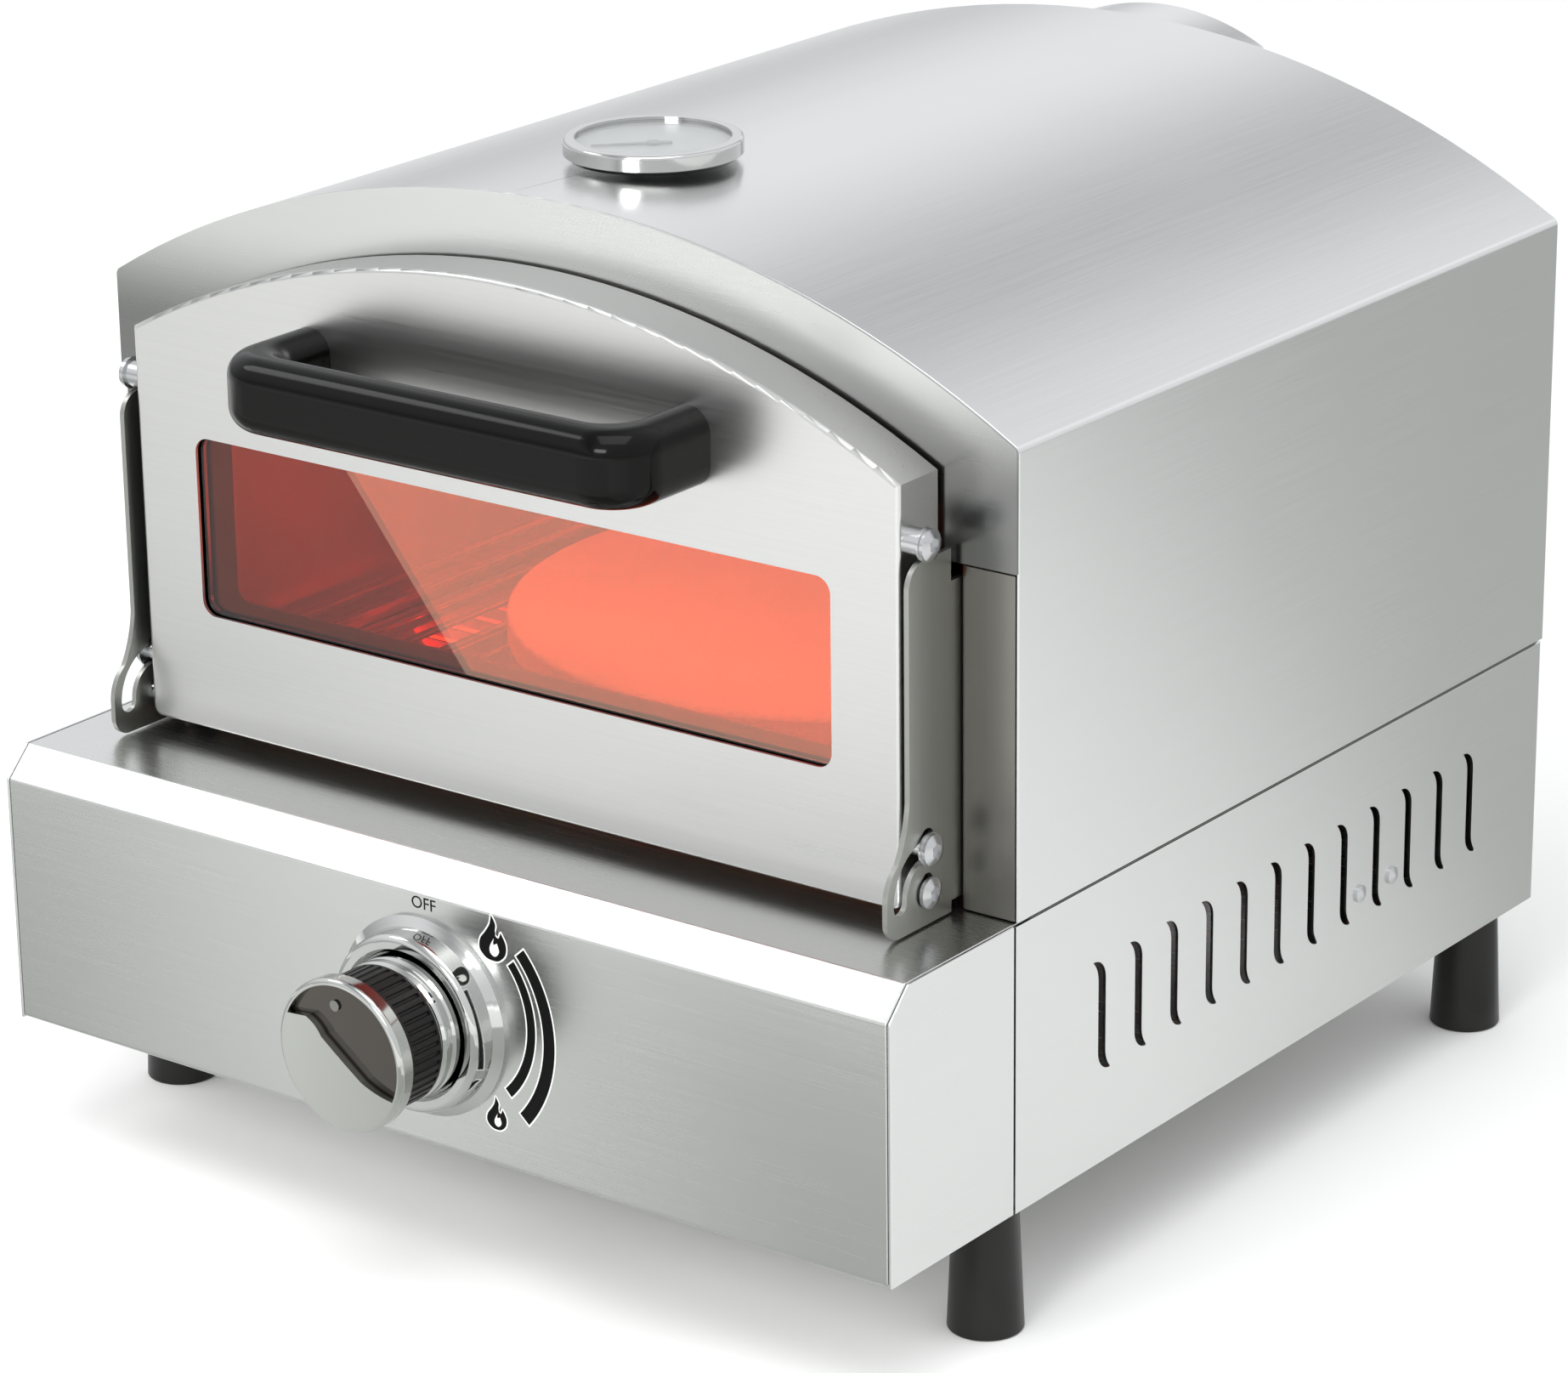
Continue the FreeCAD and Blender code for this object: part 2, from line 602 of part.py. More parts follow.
MOUTH = ("mouth_half", f"({DECK} + mouth_side)", "mouth_rise")


def chamber():
    """The liner, its back wall, the flue duct and the floor tray."""
    half, side, rise = MOUTH
    body = new_body("chamber_liner")
    pad(body, "XZ", "chamber_front", CHAMBER_BACK,
        lambda made: arch(made, half, f"{DECK} + fit_gap", side, rise, "liner_sheet"))
    cut(body, "XY", side, APEX, lambda made: circle(made, "0", "gauge_y", "gauge_stem / 2 + seam"))
    keep(body)

    body = new_body("chamber_back")
    pad(body, "XZ", CHAMBER_BACK, f"{CHAMBER_BACK} + liner_sheet",
        lambda made: arch(made, half, f"{DECK} + fit_gap", side, rise))
    cut(body, "XZ", f"{CHAMBER_BACK} - 1", f"{CHAMBER_BACK} + liner_sheet + 1", flue_outline)
    keep(body)

    body = new_body("flue_duct")

    def duct(made):
        flue_outline(made)
        box_outline(made, "-flue_half - sheet", "flue_half + sheet",
                    f"{DECK} + flue_low - sheet", f"{DECK} + flue_low + flue_tall + sheet")

    pad(body, "XZ", f"{CHAMBER_BACK} + liner_sheet", "hood_depth - sheet", duct)
    keep(body)

    body = new_body("chamber_floor")
    low, inner = FLOOR_Z, "(mouth_half - liner_sheet - fit_gap)"
    back = f"({CHAMBER_BACK} - fit_gap)"
    pad(body, "XY", low, f"{low} + floor_lip",
        lambda made: box_outline(made, f"-{inner}", inner, "chamber_front", back))
    cut(body, "XY", f"{low} + sheet", f"{low} + floor_lip + 1", lambda made: box_outline(
        made, f"-{inner} + sheet", f"{inner} - sheet", "chamber_front + sheet",
        f"{back} - sheet"))
    cut(body, "XY", f"{low} - 1", f"{low} + sheet + 1", burner_slot)
    keep(body)


def rack_rail(name, side):
    """An angle along one wall that the rack rests on."""
    body = new_body(f"rack_rail_{name}")
    wall = "(mouth_half - liner_sheet - fit_gap)"
    pad(body, "XZ", "rack_front", RACK_BACK, lambda made: outline(made, [
        (f"{side} * {wall}", f"{RACK} - rail_drop"), (f"{side} * {wall}", RACK),
        (f"{side} * ({wall} - rail_width)", RACK),
        (f"{side} * ({wall} - rail_width)", f"{RACK} - sheet"),
        (f"{side} * ({wall} - sheet)", f"{RACK} - sheet"),
        (f"{side} * ({wall} - sheet)", f"{RACK} - rail_drop")]))
    keep(body)


def wire_rack():
    """A grid of wires, front to back, welded on two cross rods."""
    body = new_body("wire_rack")
    span = "(mouth_half - liner_sheet - rack_side_gap - rack_wire / 2)"
    rod_z = f"({RACK} + fit_gap + rack_rod / 2)"
    wire_z = f"({STONE} - rack_wire / 2)"
    for place in ("rack_front + rod_inset", f"{RACK_BACK} - rod_inset"):
        pad(body, "YZ", f"-{span}", span, lambda made: circle(
            made, place, rod_z, "rack_rod / 2"))
    wire = pad(body, "XZ", "rack_front", RACK_BACK, lambda made: circle(
        made, f"-{span}", wire_z, "rack_wire / 2"))
    row(body, wire, "H_Axis", "rack_count", f"(2 * {span} / (rack_count - 1))")
    keep(body)


def pizza_stone():
    """The round baking stone, right of the burner."""
    radius, edge = "(stone_dia / 2)", "stone_round"
    body = turned("pizza_stone", [
        ("0", "0"), (f"{radius} - {edge}", "0", edge), (radius, edge),
        (radius, f"stone_thick - {edge}", edge), (f"{radius} - {edge}", "stone_thick"),
        ("0", "stone_thick")])
    keep(body, across="stone_x", back="stone_y", up=f"{STONE} + fit_gap")


# ---------------------------------------------------------------------------------------------
# Burner and gas line
# ---------------------------------------------------------------------------------------------

VALVE_Y = f"({PANEL} + valve_back)"


def burner():
    """The ported tube, the mixer that feeds it, the jet and the slotted guard above."""
    body = new_body("burner_tube")
    radius = "(burner_dia / 2)"

    def ring(made):
        circle(made, "burner_x", BURNER_Z, radius)
        circle(made, "burner_x", BURNER_Z, f"{radius} - burner_wall")

    pad(body, "XZ", "burner_front", BURNER_BACK, ring)
    pad(body, "XZ", f"{BURNER_BACK} - burner_wall", BURNER_BACK,
        lambda made: circle(made, "burner_x", BURNER_Z, f"{radius} - burner_wall / 2"))

    def ports(made):
        for way in ("-", "+"):
            circle(made, f"burner_x {way} port_spread", "burner_front + port_inset",
                   "port_dia / 2")

    holes = cut(body, "XY", BURNER_Z, f"{BURNER_Z} + {radius} + 1", ports)
    row(body, holes, "V_Axis", "port_count",
        f"(({BURNER_BACK} - burner_front - 2 * port_inset) / (port_count - 1))")
    keep(body)

    outside, wall = f"({radius} - burner_wall - fit_gap)", "burner_wall"
    long = "(burner_front + mixer_lap - mixer_front)"
    body = turned("gas_mixer", [
        ("mixer_bell", "0"), (f"mixer_throat + {wall}", f"0.25 * {long}"),
        (f"mixer_throat + {wall}", f"0.45 * {long}"), (outside, f"0.7 * {long}"), (outside, long),
        (f"{outside} - {wall}", long), (f"{outside} - {wall}", f"0.7 * {long} + {wall}"),
        ("mixer_throat", f"0.45 * {long} + {wall}"), ("mixer_throat", f"0.25 * {long} - {wall}"),
        (f"mixer_bell - {wall}", "0")])
    keep(body, across="burner_x", back="mixer_front", up=BURNER_Z, turn=FACING["+Y"])

    body = turned("gas_jet", [
        ("jet_bore", "0"), ("jet_hex", "0"), ("jet_hex", "0.6 * jet_long"),
        ("0.6 * jet_hex", "0.65 * jet_long"), ("0.5 * jet_hex", "jet_long"),
        ("jet_bore", "jet_long")])
    keep(body, across="burner_x", back="jet_y", up=BURNER_Z, turn=FACING["+Y"])

    body = new_body("flame_guard")
    low = f"({FLOOR_Z} + sheet)"
    front, back = "(burner_front + slot_half / 2)", f"({BURNER_BACK} - slot_half / 2)"
    pitch = f"(({back} - {front}) / (guard_count + 1))"
    pad(body, "XZ", front, back, lambda made: outline(made, [
        ("burner_x + guard_half", low), ("burner_x + guard_half", f"{low} + guard_tall"),
        ("burner_x - guard_half", f"{low} + guard_tall"), ("burner_x - guard_half", low),
        ("burner_x - guard_half + sheet", low),
        ("burner_x - guard_half + sheet", f"{low} + guard_tall - sheet"),
        ("burner_x + guard_half - sheet", f"{low} + guard_tall - sheet"),
        ("burner_x + guard_half - sheet", low)]))
    slot = cut(body, "XY", f"{low} + guard_tall - sheet - 1", f"{low} + guard_tall + 1",
               lambda made: box_outline(
                   made, "burner_x - guard_half / 2", "burner_x + guard_half / 2",
                   f"{front} + {pitch} - guard_slot / 2", f"{front} + {pitch} + guard_slot / 2"))
    row(body, slot, "V_Axis", "guard_count", pitch)
    keep(body)


def igniter():
    """The ceramic, its bent pin beside the ports and the lead back to the valve."""
    across = "(burner_x + burner_dia / 2 + electrode_dia / 2 + fit_gap)"
    low, top = f"({BURNER_Z} - electrode_long / 2)", f"({BURNER_Z} + electrode_long / 2)"
    radius = "(electrode_dia / 2)"
    body = turned("igniter_ceramic", [
        ("0", "0"), (f"{radius} - 1", "0"), (radius, "1"), (radius, "electrode_long - 1"),
        (f"{radius} - 1", "electrode_long"), ("0", "electrode_long")])
    keep(body, across=across, back="electrode_y", up=low)
    rise = f"({top} + lead_dia)"
    keep(bent_tube("igniter_pin", [
        (across, "electrode_y", top), (across, "electrode_y", rise),
        (f"{across} - electrode_dia", "electrode_y", rise)], "lead_dia / 2 + 1", "0.9"))
    below, rear = f"({KNOB_Z} - valve_half / 2)", f"({VALVE_Y} + valve_half)"
    keep(bent_tube("igniter_lead", [
        (across, "electrode_y", low), (across, "electrode_y", below),
        (across, f"{rear} + pipe_bend", below), ("-valve_half / 2", f"{rear} + pipe_bend", below),
        ("-valve_half / 2", rear, below)], "pipe_bend / 2", "lead_dia / 2"))


def gas_line():
    """The inlet nipple through the back, the supply pipe, and the pipe from valve to jet."""
    profile = [("inlet_bore", "0"), ("inlet_radius + 1.5", "0"),
               ("inlet_radius + 1.5", "inlet_inside"), ("inlet_radius - 1", "inlet_inside"),
               ("inlet_radius - 1", "inlet_inside + 2 * sheet"),
               ("inlet_radius", "inlet_inside + 2 * sheet"),
               ("inlet_radius", "inlet_inside + 2 * sheet + inlet_thread"),
               ("inlet_bore", "inlet_inside + 2 * sheet + inlet_thread")]
    body = turned("gas_inlet", profile)
    start = "(hood_depth - sheet - inlet_inside)"
    keep(body, across="inlet_x", back=start, up=KNOB_Z, turn=FACING["+Y"])
    keep(bent_tube("supply_pipe", [
        ("inlet_x", start, KNOB_Z), ("inlet_x", VALVE_Y, KNOB_Z), ("valve_half", VALVE_Y, KNOB_Z)],
        "pipe_bend", "pipe_dia / 2", "pipe_dia / 2 - pipe_wall"))
    keep(bent_tube("burner_pipe", [
        ("-valve_half", VALVE_Y, KNOB_Z), ("burner_x", VALVE_Y, KNOB_Z),
        ("burner_x", VALVE_Y, BURNER_Z), ("burner_x", "jet_y", BURNER_Z)],
        "jet_bend", "pipe_dia / 2", "pipe_dia / 2 - pipe_wall"))


def gas_valve():
    """The valve body behind the panel, bored for the stem and counterbored for its collar."""
    body = new_body("gas_valve")
    front, back = f"({PANEL} + sheet)", f"({VALVE_Y} + valve_half)"
    pad(body, "XZ", f"{VALVE_Y} - valve_half", back, lambda made: box_outline(
        made, "-valve_half", "valve_half", f"{KNOB_Z} - valve_half", f"{KNOB_Z} + valve_half"))
    soften(body, "bend", runs_along(1, [
        (f"{across} * valve_half", None, f"{KNOB_Z} + {up} * valve_half")
        for across in ("-1", "1") for up in ("-1", "1")]))
    pad(body, "XZ", front, f"{VALVE_Y} - valve_half",
        lambda made: circle(made, "0", KNOB_Z, "valve_half - sheet"))
    cut(body, "XZ", f"{front} - 1", f"{front} + collar_thick + 2 * knob_press",
        lambda made: circle(made, "0", KNOB_Z, "collar_radius + fit_gap"))
    cut(body, "XZ", f"{front} - 1", f"{back} - sheet",
        lambda made: circle(made, "0", KNOB_Z, "stem_dia / 2 + pin_gap"))
    keep(body)

    body = turned("push_collar", [
        ("stem_dia / 2 + pin_gap", "0"), ("collar_radius", "0"),
        ("collar_radius", "collar_thick"), ("stem_dia / 2 + pin_gap", "collar_thick")])
    keep(body, back=f"{front} + knob_press / 2", up=KNOB_Z, turn=FACING["+Y"])


# ---------------------------------------------------------------------------------------------
# Knob: turned pieces about the stem, their heights counted out from the panel's face
# ---------------------------------------------------------------------------------------------

GRIP_TOP = "(knob_reach - cap_deep)"
GRIP_LOW = f"({GRIP_TOP} - grip_deep)"


def knob():
    """The fixed bezel, and the knob's chrome skirt, ribbed grip, chrome cap and stem."""
    place = {"back": PANEL, "up": KNOB_Z, "turn": FACING["-Y"]}
    bore = "(skirt_radius + knob_gap)"
    keep(turned("knob_bezel", [
        (bore, "0"), ("bezel_radius", "0"), ("bezel_radius", "0.12 * bezel_deep"),
        ("bezel_radius - 1.5", "0.2 * bezel_deep"), ("bezel_body", "0.3 * bezel_deep"),
        ("bezel_body - 0.8", "0.85 * bezel_deep", "3"), ("bezel_body - 3", "bezel_deep"),
        (f"{bore} + 1.4", "bezel_deep"), (bore, "0.88 * bezel_deep")]), **place)
    hub = "(0.7 * skirt_radius)"
    low, neck = "(knob_press + 1)", "(skirt_radius - 1.4)"
    keep(turned("knob_skirt", [
        (f"{hub} + 0.1", low), ("skirt_radius", low), ("skirt_radius", "bezel_deep + 1.5"),
        (neck, "bezel_deep + 2.5"), (neck, f"{GRIP_LOW} - 6"), ("skirt_radius", f"{GRIP_LOW} - 5"),
        ("skirt_radius", f"{GRIP_LOW} - 2.5"), (neck, f"{GRIP_LOW} - 1.5"), (neck, GRIP_LOW),
        (f"{hub} + 0.1", GRIP_LOW)]), **place)
    shaft = "(stem_dia / 2 + 0.02)"
    grip = turned("knob_grip", [
        (shaft, "knob_press + 3"), (hub, "knob_press + 3"), (hub, GRIP_LOW),
        ("grip_radius", GRIP_LOW), ("grip_radius", f"{GRIP_TOP} - 1.5"),
        ("grip_radius - 2", f"{GRIP_TOP} - 1"), ("grip_radius - 2", GRIP_TOP),
        (shaft, GRIP_TOP)])
    groove = cut(grip, "XY", f"{GRIP_LOW} + 1", f"{GRIP_TOP} - 2.5",
                 lambda made: circle(made, "grip_radius", "0", "rib_groove"))
    ribs = grip.newObject("PartDesign::PolarPattern", "knob_grip_ribs")
    ribs.Originals = [groove]
    ribs.Axis = (groove.Profile[0], ["N_Axis"])
    ribs.Angle = 360
    ribs.setExpression("Occurrences", bound("grip_ribs"))
    grip.Tip = ribs
    doc.recompute()
    keep(grip, **place)
    cap = turned("knob_cap", [
        ("0", GRIP_TOP), ("knob_radius - 1.5", GRIP_TOP), ("knob_radius", f"{GRIP_TOP} + 1.2"),
        ("knob_radius", "knob_reach - 2.6", "1.8")]
        + dome("knob_radius - 1.6", "knob_reach - 0.8", "0.8"))
    cut(cap, "XY", "knob_reach - scoop_deep", "knob_reach + 1", scoop)
    pad(cap, "XY", "knob_reach - scoop_deep", "knob_reach - scoop_deep + 0.8",
        lambda made: circle(made, "-0.12 * knob_radius", "0.62 * knob_radius", "2"))
    keep(cap, **place)
    depth = f"({PANEL} + box_depth + {VALVE_Y} + valve_half - sheet - knob_press - 1)"
    keep(turned("valve_stem", [
        ("0", f"-({VALVE_Y} - {PANEL}) + 1"), ("stem_dia / 2", f"-({VALVE_Y} - {PANEL}) + 1"),
        ("stem_dia / 2", f"{GRIP_TOP} - 2"), ("0", f"{GRIP_TOP} - 2")]), **place)


def scoop(made):
    """The hollow in the cap's face: the rim's circle above, an S-shaped ridge below."""
    rim = "(knob_radius - scoop_rim)"
    outline(made, [
        (f"{rim} * cos(26)", f"-{rim} * sin(26)", rim), ("0", rim, rim),
        (f"-{rim} * cos(25)", f"{rim} * sin(25)"),
        ("-0.52 * knob_radius", "0.42 * knob_radius", "-0.5 * knob_radius"),
        ("-0.27 * knob_radius", "0.21 * knob_radius"),
        ("0.35 * knob_radius", "-0.25 * knob_radius", "1.6 * knob_radius")])


# ---------------------------------------------------------------------------------------------
# Door
# ---------------------------------------------------------------------------------------------

DOOR_LOW = f"({DECK} + door_low)"
DOOR = ("door_half", f"({DECK} + door_side)", "door_rise")
HANDLE_Z = f"({DECK} + handle_up)"
HANDLE_X = "(handle_half - handle_deep / 2)"
WINDOW_LOW = f"({DECK} + window_low)"
GUIDE_Z = f"({PIVOT_Z} + guide_radius)"
POST_Z = f"({DECK} + post_up)"


def window(made, lap="0"):
    """The window's outline, grown by a lap all round."""
    box_outline(made, f"-window_half - {lap}", f"window_half + {lap}", f"{WINDOW_LOW} - {lap}",
                f"{WINDOW_LOW} + window_tall + {lap}")


def window_corners(lap="0"):
    """A test for the window's four corner edges."""
    return runs_along(1, [(f"{way} * (window_half + {lap})", None, place)
                          for way in ("-1", "1")
                          for place in (f"{WINDOW_LOW} - {lap}",
                                        f"{WINDOW_LOW} + window_tall + {lap}")])


def door_outer():
    """The door's outer pan: the arched face with returns all round, and its window."""
    body = new_body("door_outer")
    half, side, rise = DOOR
    pad(body, "XZ", DOOR_FACE, DOOR_BACK, lambda made: arch(made, half, DOOR_LOW, side, rise))
    soften(body, "door_corner", runs_along(1, [(half, None, DOOR_LOW),
                                               (f"-{half}", None, DOOR_LOW)]))
    soften(body, "door_edge", lambda edge: abs(edge.BoundBox.YMax - value(DOOR_FACE)) < 0.01)
    inner, inner_side, inner_rise = arch_inside(half, side, rise, "sheet")
    cut(body, "XZ", f"{DOOR_FACE} + sheet", f"{DOOR_BACK} + 1", lambda made: arch(
        made, inner, f"{DOOR_LOW} + sheet", inner_side, inner_rise))
    cut(body, "XZ", f"{DOOR_FACE} - 1", f"{DOOR_FACE} + sheet + 1", window)
    soften(body, "window_corner", window_corners())
    for back, up, radius in (("pivot_y", PIVOT_Z, "sleeve_dia / 2 + pin_gap"),
                             ("pivot_y", GUIDE_Z, "screw_shank / 2 + pin_gap"),
                             ("post_y", POST_Z, "screw_shank / 2 + pin_gap")):
        cut(body, "YZ", f"-{half} - 1", f"{half} + 1",
            lambda made: circle(made, back, up, radius))
    for way in SIDES.values():
        cut(body, "XZ", f"{DOOR_FACE} - 1", f"{DOOR_FACE} + sheet + 1", lambda made: circle(
            made, f"{way} * {HANDLE_X}", HANDLE_Z, "screw_shank / 2 + pin_gap"))
    keep(body)


def door_inner():
    """The shallow pan that closes the back of the door."""
    body = new_body("door_inner")
    half, side, rise = arch_inside(*DOOR, "sheet + fit_gap")
    low, front = f"({DOOR_LOW} + sheet + fit_gap)", f"({DOOR_BACK} - inner_deep)"
    pad(body, "XZ", front, DOOR_BACK, lambda made: arch(made, half, low, side, rise))
    soften(body, "door_corner", runs_along(1, [(half, None, low), (f"-{half}", None, low)]))
    inner, inner_side, inner_rise = arch_inside(half, side, rise, "sheet")
    cut(body, "XZ", f"{front} - 1", f"{DOOR_BACK} - sheet", lambda made: arch(
        made, f"{inner} - door_corner", f"{low} + door_corner", f"{inner_side} - door_corner",
        inner_rise))
    cut(body, "XZ", f"{DOOR_BACK} - sheet - 1", f"{DOOR_BACK} + 1", window)
    soften(body, "window_corner", window_corners())
    keep(body)


def glazing():
    """The glass behind the window, and the ring that holds it."""
    front = f"({DOOR_FACE} + sheet + glass_gap)"
    body = new_body("door_glass")
    pad(body, "XZ", front, f"{front} + glass_thick", lambda made: window(made, "glass_lap"))
    soften(body, "window_corner", window_corners("glass_lap"))
    keep(body)
    body = new_body("glass_retainer")
    back = f"({front} + glass_thick)"
    pad(body, "XZ", back, f"{back} + retainer_thick",
        lambda made: window(made, "retainer_lap"))
    cut(body, "XZ", f"{back} - 1", f"{back} + retainer_thick + 1", window)
    soften(body, "window_corner", window_corners())
    keep(body)


def door_handle():
    """A D-shaped handle of rounded rectangular section, both legs against the door."""
    body = new_body("door_handle")
    front, low = f"({DOOR_FACE} - handle_reach)", f"({HANDLE_Z} - handle_tall / 2)"
    inner, back = "(handle_half - handle_deep)", f"({DOOR_FACE} - handle_reach + handle_deep)"
    pad(body, "XY", low, f"{low} + handle_tall", lambda made: outline(made, [
        ("-handle_half", DOOR_FACE), ("-handle_half", front), ("handle_half", front),
        ("handle_half", DOOR_FACE), (inner, DOOR_FACE), (inner, back), (f"-{inner}", back),
        (f"-{inner}", DOOR_FACE)]))
    soften(body, "handle_corner", runs_along(2, [("handle_half", front, None),
                                                 ("-handle_half", front, None)]))
    soften(body, "handle_round + 1", runs_along(2, [(inner, back, None),
                                                    (f"-{inner}", back, None)]))
    touching = value(DOOR_FACE) - 0.01
    rounding = "min(handle_round, 0.48 * handle_deep)"
    ends = (value(low), value(f"{low} + handle_tall"))
    soften(body, rounding, lambda edge: edge.BoundBox.YMin < touching and any(
        abs(edge.BoundBox.ZMin - end) < 0.01 and abs(edge.BoundBox.ZMax - end) < 0.01
        for end in ends))
    for way in SIDES.values():
        cut(body, "XZ", f"{DOOR_FACE} - screw_depth - 1", f"{DOOR_FACE} + 1",
            lambda made: circle(made, f"{way} * {HANDLE_X}", HANDLE_Z,
                                "screw_shank / 2 + pin_gap"))
    keep(body)


def pan_head(base):
    """The outline of a domed screw head that stands on a base, from its rim to its crown."""
    return [("head_dia / 2", base)] + dome("head_dia / 2", f"{base} + 0.55 * head_tall",
                                           "(0.6 * head_tall)")


def hex_socket(master, base):
    """Sink a hexagon socket into the crown of a pan head that stands on a base."""
    crown = f"({base} + 1.15 * head_tall)"
    corners = [(f"socket_half * cos({60 * index})", f"socket_half * sin({60 * index})")
               for index in range(6)]
    cut(master, "XY", f"{crown} - socket_deep", f"{crown} + 1",
        lambda made: outline(made, corners))


def door_screws():
    """Handle screws, and the post, guide and pivot screws on both sides of the door."""
    shank, sleeve = "(screw_shank / 2)", "(sleeve_dia / 2)"
    master = turned("handle_screw", [
        ("0", "-screw_depth - sheet"), (shank, "-screw_depth - sheet"), (shank, "0"),
        ("head_dia / 2 - 1", "0"), ("head_dia / 2 - 1", "0.6 * head_tall"),
        ("0", "0.9 * head_tall")])
    keep(group("handle_screws", master, [
        (f"{way} * {HANDLE_X}", f"{DOOR_FACE} + sheet", HANDLE_Z, "+Y")
        for way in SIDES.values()]))
    reach = "(plate_x + plate_thick - door_half + washer_gap)"
    master = turned("door_post", [
        ("0", "-screw_inside"), (shank, "-screw_inside"), (shank, "0"), ("post_dia / 2", "0"),
        ("post_dia / 2", reach), ("washer_dia / 2", reach),
        ("washer_dia / 2", f"{reach} + washer_thick")]
        + pan_head(f"{reach} + washer_thick"))
    hex_socket(master, f"({reach} + washer_thick)")
    keep(group("door_posts", master, side_places("post_y", POST_Z)))
    master = turned("guide_screw", [
        ("0", "-screw_inside"), (shank, "-screw_inside"), (shank, "0"), (sleeve, "0"),
        (sleeve, reach), ("washer_dia / 2", reach),
        ("washer_dia / 2", f"{reach} + washer_thick")]
        + pan_head(f"{reach} + washer_thick"))
    hex_socket(master, f"({reach} + washer_thick)")
    keep(group("guide_screws", master, side_places("pivot_y", GUIDE_Z)))
    master = turned("pivot_screw", [
        ("0", "-screw_inside"), ("nut_radius", "-screw_inside"),
        ("nut_radius", "-sheet - pivot_play"), (sleeve, "-sheet - pivot_play"), (sleeve, reach)]
        + pan_head(reach))
    hex_socket(master, reach)
    keep(group("pivot_screws", master, side_places("pivot_y", PIVOT_Z)))


def side_places(back, up):
    """The same place on the left and right side of the door."""
    return [("door_half", back, up, "+X"), ("-door_half", back, up, "-X")]


# ---------------------------------------------------------------------------------------------
# Door brackets
# ---------------------------------------------------------------------------------------------

TAB_SCREWS = ("(tab_low + tab_screw)", "(tab_top - tab_screw)")


def tab_holes(body, side):
    """The screw holes through one side's bracket tab and pillar."""
    low, high = ("-pillar_inner - bend", "-plate_x + 1") if side == "-1" else (
        "plate_x - 1", "pillar_inner + bend")
    for up in TAB_SCREWS:
        cut(body, "YZ", low, high, lambda made: circle(
            made, "tab_back / 2", f"{DECK} + {up}", "clamp_shank / 2 + pin_gap"))


def bracket(name, side):
    """The plate beside the door, with the pivot's lift slot and the guide's arc slot."""
    body = new_body(f"bracket_{name}")
    low, high = ("-plate_x - plate_thick", "-plate_x") if side == "-1" else (
        "plate_x", "plate_x + plate_thick")
    edge = [("-plate_back", f"{DECK} + tab_low"), ("tab_back", f"{DECK} + tab_low"),
            ("tab_back", f"{DECK} + tab_top"), ("-plate_back", f"{DECK} + tab_top")]
    top, foot = f"({DECK} + plate_top)", f"({DECK} + plate_low)"
    front, nose = "(-plate_front)", "(-plate_tip)"
    pad(body, "YZ", low, high, lambda made: outline(made, [("-plate_back", foot)] + edge + [
        ("-plate_back", top), (f"{front} + plate_round", top, "plate_round"),
        (front, f"{top} - plate_round"), (front, f"{GUIDE_Z} + 1.2 * guide_radius",
                                          "-3 * guide_radius"),
        (f"({front} + {nose}) / 2", f"{GUIDE_Z} - 1", "guide_radius"),
        (nose, f"{PIVOT_Z} + 2"), (nose, f"{foot} + plate_round - 2", "plate_round - 2"),
        (f"{nose} + plate_round - 2", foot)]))
    far_low, far_high = f"{low} - 1", f"{high} + 1"
    half = "(slot_width / 2)"
    outside, inside = f"(guide_radius + {half})", f"(guide_radius - {half})"
    cut(body, "YZ", far_low, far_high, lambda made: outline(made, [
        ("pivot_y", f"{PIVOT_Z} + {inside}"), ("pivot_y", f"{PIVOT_Z} + {outside}", outside),
        (f"pivot_y - {outside}", PIVOT_Z), (f"pivot_y - {inside}", PIVOT_Z, f"-{inside}")]))
    cut(body, "YZ", far_low, far_high,
        lambda made: circle(made, "pivot_y - guide_radius", PIVOT_Z, half))
    lift_slot(body, far_low, far_high, GUIDE_Z, half)
    lift_slot(body, far_low, far_high, PIVOT_Z, "(sleeve_dia / 2 + pin_gap)")
    tab_holes(body, side)
    keep(body)


def lift_slot(body, low, high, up, half):
    """A short upright slot that lets a pin rise by the door's lift."""
    for place in (up, f"{up} + lift"):
        cut(body, "YZ", low, high, lambda made: circle(made, "pivot_y", place, half))
    cut(body, "YZ", low, high, lambda made: box_outline(
        made, f"pivot_y - {half}", f"pivot_y + {half}", up, f"{up} + lift"))


def clamp_screws():
    """Alike small screws: two through each bracket's tab, two through each side of the base."""
    radius = "(1.75 * clamp_shank / 2)"
    master = turned("clamp_screw", [
        ("0", "-clamp_long"), ("clamp_shank / 2", "-clamp_long"), ("clamp_shank / 2", "0"),
        (radius, "0"), (radius, "0.5 * clamp_head"), ("0", "clamp_head")])
    places = []
    for way, outward, inward in (("1", "+X", "-X"), ("-1", "-X", "+X")):
        places += [(f"{way} * plate_x", "tab_back / 2", f"{DECK} + {up}", inward)
                   for up in TAB_SCREWS]
        places += [(f"{way} * {HALF}", back, CLAMP_Z, outward) for back in CLAMP_Y]
    keep(group("clamp_screws", master, places))


# ---------------------------------------------------------------------------------------------
# Feet and thermometer
# ---------------------------------------------------------------------------------------------

